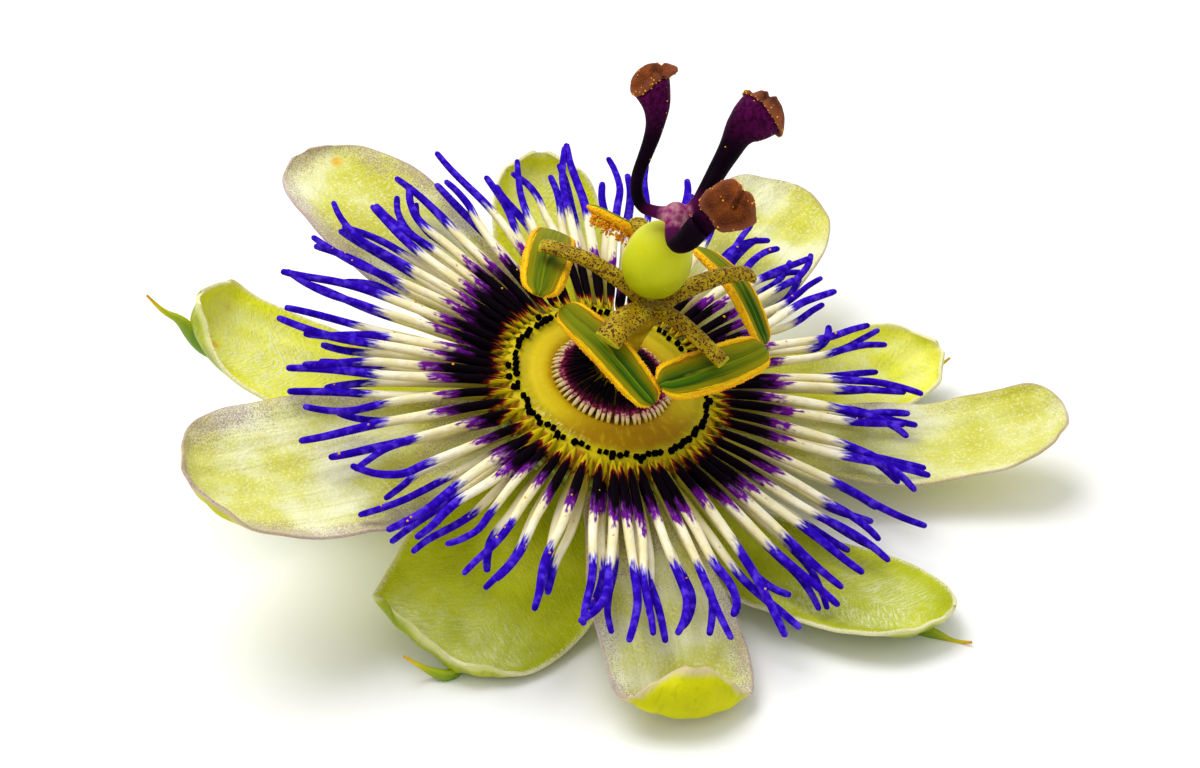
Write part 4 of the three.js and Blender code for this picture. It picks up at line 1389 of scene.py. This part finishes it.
def anther_green():
    paint = Paint("anther_green", 0.6, Specular_IOR_Level=0.05)
    pod = paint.noted("pod")
    across, rise = paint.parts(pod, "YZ")
    (yellow,) = paint.parts(paint.noted("yellow"), "X")
    flower = paint.flower()
    wander = paint.streaks(pod, (0.35, 0.12, 1.0), 3.0)
    aside = paint.plus(across, paint.shift(wander, 0.07))
    # The brown stops just inside each yellow rim are painted shadow under the swollen rims.
    paint.body = paint.ramp(
        paint.share(aside, -1.0, 1.0),
        [
            (0.0, "F8AE08"), (0.04, "FFD40E"), (0.075, "ECA608"), (0.11, "FFD20E"), (0.135, "8A6408"),
            (0.16, "8E8A08"), (0.25, "767404"), (0.3, "3C5E06"), (0.34, "2A4C04"), (0.38, "406806"),
            (0.45, "4A6A06"), (0.485, "8E961A"), (0.52, "1E3E04"), (0.56, "2E5608"), (0.68, "626604"),
            (0.8, "868004"), (0.85, "8A5E08"), (0.88, "FAB40A"), (0.92, "FFD00E"), (0.96, "F0A408"),
            (1.0, "FCC00C"),
        ],
    )
    inner = paint.ease(paint.math("ABSOLUTE", aside), 0.6, 0.72, 1.0, 0.0)
    blush = paint.times(paint.ease(wander, 0.25, 0.6, 0.6, 0.9), inner)
    paint.over(paint.times(blush, yellow), "96920A")
    pollen = paint.noise(flower, 0.2, 2.0)
    edge = paint.ease(paint.math("ABSOLUTE", aside), 0.76, 0.82)
    gold = paint.times(edge, paint.ease(pollen, 0.45, 0.62, 0.0, 0.6))
    paint.over(gold, "FFD428")
    below = paint.ease(rise, -0.8, -0.35, 0.9, 0.0)
    paint.over(below, "F8A408")
    paint.bump(paint.times(pollen, edge), 0.2)
    paint.bump(wander, 0.1)
    return paint.done()


ANTHER_GREEN = anther_green()
pod_master = straight_rod("pod_master", sides=48, rings=56)


def anther_pod(name, anther):
    pod = copy_of(pod_master, name + "_pod")
    flat = points_of(pod)
    note(pod, "pod", flat)
    share, across, rise = flat.T
    at_start, at_end = anther["yellow"]
    yellow = at_start * ease(0.75, 0.1, share) + at_end * ease(0.25, 0.9, share)
    note(pod, "yellow", np.stack([yellow, 0 * share, 0 * share], axis=1))
    place = flat.copy()
    aside, on_back = np.abs(across), ease(-0.1, 0.3, rise)
    for middle, width, depth in FURROWS:
        place[:, 2] -= depth * bell(aside - middle, width) * on_back
    place[:, 2] += 0.3 * bell(aside - 0.87, 0.1) * on_back
    place[:, 2] = rise + (place[:, 2] - rise) * ease(0, 0.12, share) * ease(1, 0.88, share)
    place[:, 1] *= 1 + 0.05 * grain(flat * (26, 6, 6), 1.0) * (aside > 0.7)
    set_points(pod, place)
    radii = [(anther["half"] * wide, thick) for wide, thick in POD_SHAPE]
    lay_along(pod, anther["knots"], radii, up=anther["back"], rounded=True)
    pod.data.materials.append(ANTHER_GREEN)
    return pod, flat


draw = random.Random(77)
for name, anther in ANTHERS.items():
    pod, flat = anther_pod(name, anther)
    points = points_of(pod)
    on_edge = [i for i, (_, across, rise) in enumerate(flat) if abs(across) > 0.9 and abs(rise) < 0.5]
    places = [points[i] for i in draw.choices(on_edge, k=POLLEN_COUNTS["pod"])]
    grains = pollen_at(places, draw, small=0.05, large=0.11)
    if name == "anther_5":
        line = Line(anther["knots"])
        facing = (points - line.at(flat[:, 0])) @ PICTURE[2]
        hanging = [i for i, front in enumerate(facing) if front > 0.5 and 0.08 < flat[i, 0] < 0.92]
        places = [
            points[i] + FUR_HANGS * draw.random() ** 0.7 * FUR_LENGTH
            for i in draw.choices(hanging, k=POLLEN_COUNTS["fur"])
        ]
        grains += pollen_at(places, draw, small=0.07, large=0.16)
    pod = joined([pod, *grains], pod.name)
    set_down(pod, "anther_green", name)
bpy.data.objects.remove(pod_master)

# %% [markdown]
# The ovary is a smooth egg with three soft seams. It starts as a sphere.

# %% Ovary
OVARY_R = (3.0, 3.0, 3.8)
OVARY_MIDDLE = (0.1, 0.0, 15.55)


def ovary_green():
    paint = Paint("ovary_green", 0.45, Specular_IOR_Level=0.15, **SOFT)
    flower = paint.flower()
    x, z = paint.parts(flower, "XZ")
    clouds = paint.noise(flower, 2.4, 2.0)
    height = paint.plus(z, paint.shift(clouds, 0.6))
    # The ramp darkens towards the bottom and shaded darkens the lower right: painted shade on the sides away
    # from the lamp.
    paint.body = paint.ramp(
        paint.share(height, 11.5, 19.5),
        [(0.0, "8A8C00"), (0.25, "A6A802"), (0.5, "C2C606"), (0.75, "CCCE10"), (1.0, "D4D630")],
    )
    shaded = paint.ease(paint.minus(x, z), -15.6, -11.5, 0.0, 0.6)
    paint.over(shaded, "929200")
    dots = paint.noise(flower, 0.2, 2.0)
    paint.over(paint.ease(dots, 0.58, 0.72, 0.0, 0.2), "DCDC50")
    paint.bump(dots, 0.015)
    return paint.done()


ovary = primitive(bpy.ops.mesh.primitive_uv_sphere_add, "ovary_wall", segments=72, ring_count=44, radius=1)
points = points_of(ovary)
angle = np.arctan2(points[:, 1], points[:, 0])
groove = bell(np.cos(1.5 * angle), 0.25) * np.clip(1 - points[:, 2] ** 2, 0, 1)
points[:, :2] *= (1 - 0.03 * groove - 0.06 * points[:, 2])[:, None]
set_points(ovary, points * OVARY_R + OVARY_MIDDLE)
ovary.data.materials.append(ovary_green())
set_down(ovary, "ovary_green", "ovary")

# %% [markdown]
# Three styles bend out from a pale knob on top of the ovary and flare into heads, and each
# head wears a brown cap, its stigma. Each cap has a frame of its own, with its face outwards
# and a chord. Both are given as they look from the front of the flower. An outline is given by
# points in the plane of the cap, along the chord and across it. The furrows are short lines in
# the same plane.

# %% Frames of the stigmas
STIGMAS = {
    "stigma_1": dict(
        at=(-6.15, 5.6, 29.35), face=seen(-0.62, 0.62, 0.48), chord=seen(0.72, 0.69), thick=0.75, dome=0.1,
        outline=[
            (2.45, -1.4), (2.3, -0.9), (1.95, -0.55), (1.65, -0.2), (1.6, 0.4), (1.2, 1.05), (0.4, 1.45),
            (-0.6, 1.5), (-1.4, 1.1), (-1.8, 0.3), (-1.75, -0.5), (-1.3, -1.15), (-0.5, -1.5), (0.4, -1.5),
            (0.95, -1.55), (1.35, -1.85), (1.8, -1.95), (2.25, -1.8),
        ],
        furrows=[[(1.0, -1.7), (1.25, -1.1), (1.6, -0.6), (1.9, -0.3)]],
    ),
    "stigma_2": dict(
        at=(4.76, 8.18, 29.23), face=seen(0.74, 0.67, -0.12), chord=seen(0.69, -0.72), thick=0.6, dome=0.2,
        outline=[
            (2.55, 0.0), (2.3, 1.1), (1.3, 2.0), (0.0, 2.3), (-1.2, 2.0), (-2.1, 1.2), (-2.4, 0.2),
            (-2.2, -1.0), (-1.8, -1.4), (-1.5, -1.8), (-0.8, -2.0), (0.2, -2.3), (1.4, -2.0), (2.25, -1.2),
        ],
        furrows=[
            [(-0.8, -2.6), (-0.7, -1.2), (-0.6, 0.0), (-0.4, 1.0)], [(-2.1, -1.6), (-1.9, -0.8), (-1.8, 0.4)],
        ],
    ),
    "stigma_3": dict(
        at=(4.05, -1.75, 25.3), face=seen(-0.05, 0.12, 0.99), chord=seen(1, 0), thick=0.95, dome=0.1,
        outline=[
            (2.27, 0.48), (2.07, 0.92), (1.67, 1.27), (1.41, 1.31), (1.24, 1.63), (0.8, 2.07), (0.3, 2.33),
            (-0.2, 2.28), (-0.76, 2.03), (-1.35, 1.6), (-1.87, 1.35), (-2.39, 0.56), (-2.31, -0.12),
            (-1.95, -0.6), (-1.51, -1.12), (-1.2, -1.67), (-0.88, -2.07), (-0.24, -2.25), (0.72, -2.12),
            (1.51, -1.95), (2.11, -1.63), (2.39, -1.31), (2.37, -0.92), (2.29, -0.12),
        ],
        furrows=[[(1.5, 1.5), (1.31, 0.96), (1.12, 0.44), (0.85, 0.0), (0.6, -0.45)]],
    ),
}
SEAT = 0.3  # how far the head stays behind the middle of its cap
HEAD_R, HEAD_TOP = 3.2, 2.5  # what lies this near to the middle of a cap belongs to its head


def cap_frame(stigma):
    """The middle of a cap and its three directions: along the chord, across it and outwards."""
    face = Vector(stigma["face"]).normalized()
    chord = Vector(stigma["chord"])
    chord = (chord - face * chord.dot(face)).normalized()
    return np.array(stigma["at"]), np.array([chord, face.cross(chord), face])


print("stigmas:", ", ".join(STIGMAS))

# %% [markdown]
# A style is a rod as dark as an aubergine. It slims down beyond the knob and widens again to
# its head, which is pressed flat behind the cap. The second remesh evens out the pressed skin.

# %% Styles
STYLE_ROOT = (0.3, -0.1, 20.9)
KNOB_PLACE = (0.3, -0.1, 20.98)
KNOB_R = 1.15
STYLES = {
    "stigma_1": dict(
        knots=[
            STYLE_ROOT, (-1.8, -0.1, 20.5), (-2.75, 0.0, 20.6), (-3.5, 0.4, 21.4), (-3.9, 0.9, 22.7),
            (-3.9, 1.8, 24.3), (-3.9, 2.8, 25.8), (-4.1, 3.7, 27.0), (-4.6, 4.6, 28.0),
        ],
        radii=[0.8, 0.55, 0.55, 0.56, 0.6, 0.68, 0.85, 1.3, 1.75],
    ),
    "stigma_2": dict(
        knots=[
            STYLE_ROOT, (1.1, 0.3, 21.2), (1.65, 1.0, 21.9), (2.0, 2.2, 22.8), (2.4, 4.2, 24.1),
            (2.7, 5.2, 25.4), (2.95, 6.1, 26.7), (3.4, 6.7, 27.5),
        ],
        radii=[0.8, 0.65, 0.75, 0.85, 0.98, 1.25, 1.95, 2.25],
    ),
    "stigma_3": dict(
        knots=[
            STYLE_ROOT, (0.55, -1.2, 20.35), (1.15, -2.3, 20.1), (1.85, -2.85, 21.2),
            (2.4, -2.7, 22.8), (3.0, -2.2, 24.1),
        ],
        radii=[0.8, 0.85, 0.97, 1.08, 1.15, 1.3, 1.7],
    ),
}


def style_purple():
    paint = Paint("style_purple", 0.55, Specular_IOR_Level=0.03)
    knob, head = paint.parts(paint.noted("style"), "YZ")
    flower = paint.flower()
    clouds = paint.noise(flower, 1.3, 3.0)
    paint.body = paint.ramp(clouds, [(0.35, "08000C"), (0.6, "10010E"), (0.8, "22031C")])
    fine = paint.noise(flower, 0.35, 3.0)
    flared = paint.times(head, paint.ease(fine, 0.35, 0.65, 0.25, 0.9))
    paint.over(flared, "5A0648")
    blush = paint.streaks(flower, (0.4, 0.5, 0.7), 4.0)
    pale = paint.ramp(
        blush, [(0.3, "861E58"), (0.44, "9A4272"), (0.56, "B06C84"), (0.72, "C29294")]
    )
    paint.over(paint.ease(knob, 1.7, 3.4, 0.7, 0.0), "5E0E4C")
    paint.over(paint.ease(knob, 1.15, 1.8, 1.0, 0.0), pale)
    paint.bump(fine, 0.03)
    return paint.done()


def seat_heads(points):
    """Presses each head flat behind its cap, in the shape of the cap's sag."""
    for stigma in STIGMAS.values():
        centre, axes = cap_frame(stigma)
        along, across, out = ((points - centre) @ axes.T).T
        rho = np.hypot(along, across)
        limit = -SEAT - stigma["dome"] * rho**2
        over = (out > limit) & (rho < HEAD_R) & (out < HEAD_TOP)
        points[over] -= np.outer((out - limit)[over], axes[2])
    return points


style_rods, style_lines = [], []
for name, style in STYLES.items():
    centre, axes = cap_frame(STIGMAS[name])
    rod = copy_of(rod_master, "style")
    knots = [*style["knots"], centre - axes[2] * 0.6]
    style_lines.append(lay_along(rod, knots, [(r, r) for r in style["radii"]], up=(0.2, 1, 0.1)))
    style_rods.append(rod)
knob_ball = primitive(
    bpy.ops.mesh.primitive_uv_sphere_add, "knob_ball",
    segments=32, ring_count=20, radius=KNOB_R, location=KNOB_PLACE,
)
bpy.ops.object.transform_apply(location=True)
styles = joined([knob_ball, *style_rods], "styles_joined")
grown_together(styles, voxel_size=0.1, smoothing=5)
set_points(styles, seat_heads(points_of(styles)))
apply_modifier(styles, "REMESH", mode="VOXEL", voxel_size=0.1)
points = points_of(styles)
share = nearest_share(points, style_lines)
from_knob = np.linalg.norm(points - np.array(KNOB_PLACE), axis=1)
note(styles, "style", np.stack([share, from_knob, ease(0.6, 0.95, share)], axis=1))
styles.data.materials.append(style_purple())
draw = random.Random(19)
fallen = [points[i] for i in draw.choices(range(len(points)), k=POLLEN_COUNTS["styles"])]
styles = joined([styles, *pollen_at(fallen, draw, small=0.04, large=0.1)], styles.name)
set_down(styles, "style_purple", "styles")
bpy.data.objects.remove(rod_master)

# %% [markdown]
# A cap is a cushion with furrows between its lobes: a sphere that is pressed flat, drawn out to
# the cap's own outline, furrowed and then sagged like a mushroom's hat.

# %% Stigmas
def stigma_brown():
    paint = Paint("stigma_brown", 0.7, Specular_IOR_Level=0.1)
    flower = paint.flower()
    clouds = paint.noise(flower, 1.3, 3.0)
    paint.body = paint.ramp(clouds, [(0.3, "4A1E06"), (0.5, "682E08"), (0.68, "84400C"), (0.85, "945022")])
    flat, furrow = paint.parts(paint.noted("cap"), "XY")
    (z,) = paint.parts(flower, "Z")
    # The lowest cap, stigma_3, is darker towards its bottom: painted shade.
    paint.over(paint.ease(z, 23.6, 26.2, 0.7, 0.0), "3E1608")
    paint.over(paint.ease(flat, 0.75, 1.0, 0.0, 0.45), "A05E44")
    # The furrows are painted darker: painted shade in the creases.
    paint.over(paint.ease(furrow, 0.2, 1.0, 0.0, 0.45), "4A1C06")
    grains = paint.cells(flower, 0.17)
    paint.over(paint.ease(grains, 0.1, 0.5, 0.3, 0.0), "A8642C")
    paint.bump(grains, -0.07)
    return paint.done()


STIGMA_BROWN = stigma_brown()


def edge_radius(outline, angle):
    """How far the outline lies from the middle, at each angle."""
    closed = np.array([*outline, outline[0]])
    walk = through(closed, np.linspace(0, 1, 400))
    turns = np.unwrap(np.arctan2(walk[:, 1], walk[:, 0]))
    return np.interp((angle - turns[0]) % math.tau, turns - turns[0], np.hypot(*walk.T))


def stigma_cap(name, stigma):
    cap = primitive(
        bpy.ops.mesh.primitive_uv_sphere_add, name + "_cap", segments=120, ring_count=64, radius=1
    )
    points = points_of(cap)
    flat = np.hypot(points[:, 0], points[:, 1])
    angle = np.arctan2(points[:, 1], points[:, 0])
    reach = edge_radius(stigma["outline"], angle)
    rho = reach * flat**1.15
    points = np.stack([rho * np.cos(angle), rho * np.sin(angle), points[:, 2] * stigma["thick"]], axis=1)
    in_furrow = np.zeros(len(points))
    for furrow in stigma["furrows"]:
        walk = through(furrow, np.linspace(0, 1, 60))
        gap = np.linalg.norm(points[:, None, :2] - walk[None], axis=2).min(1)
        lips = 0.1 * bell(gap - 0.42, 0.18)
        points[:, 2] += (lips - 0.26 * bell(gap, 0.22)) * (points[:, 2] > 0)
        points[:, :2] *= (1 - 0.04 * bell(gap, 0.2))[:, None]
        in_furrow = np.maximum(in_furrow, bell(gap, 0.2))
    lumps = 0.06 * grain(points, 0.7) + 0.03 * grain(points, 0.25)
    points *= (1 + lumps / 2)[:, None]
    points[:, 2] -= stigma["dome"] * rho**2
    centre, axes = cap_frame(stigma)
    set_points(cap, points @ axes + centre)
    note(cap, "cap", np.stack([flat, in_furrow, points[:, 2]], axis=1))
    cap.data.materials.append(STIGMA_BROWN)
    return cap, flat


draw = random.Random(3)
for name, stigma in STIGMAS.items():
    cap, rho = stigma_cap(name, stigma)
    points = points_of(cap)
    rim = [i for i, distance in enumerate(rho) if distance > 0.9]
    places = [points[i] for i in draw.choices(rim, k=POLLEN_COUNTS["cap rim"])]
    places += [points[i] for i in draw.choices(range(len(points)), k=POLLEN_COUNTS["cap"])]
    cap = joined([cap, *pollen_at(places, draw, small=0.05, large=0.11)], cap.name)
    set_down(cap, "stigma_brown", name)
bpy.data.objects.remove(grain_master)
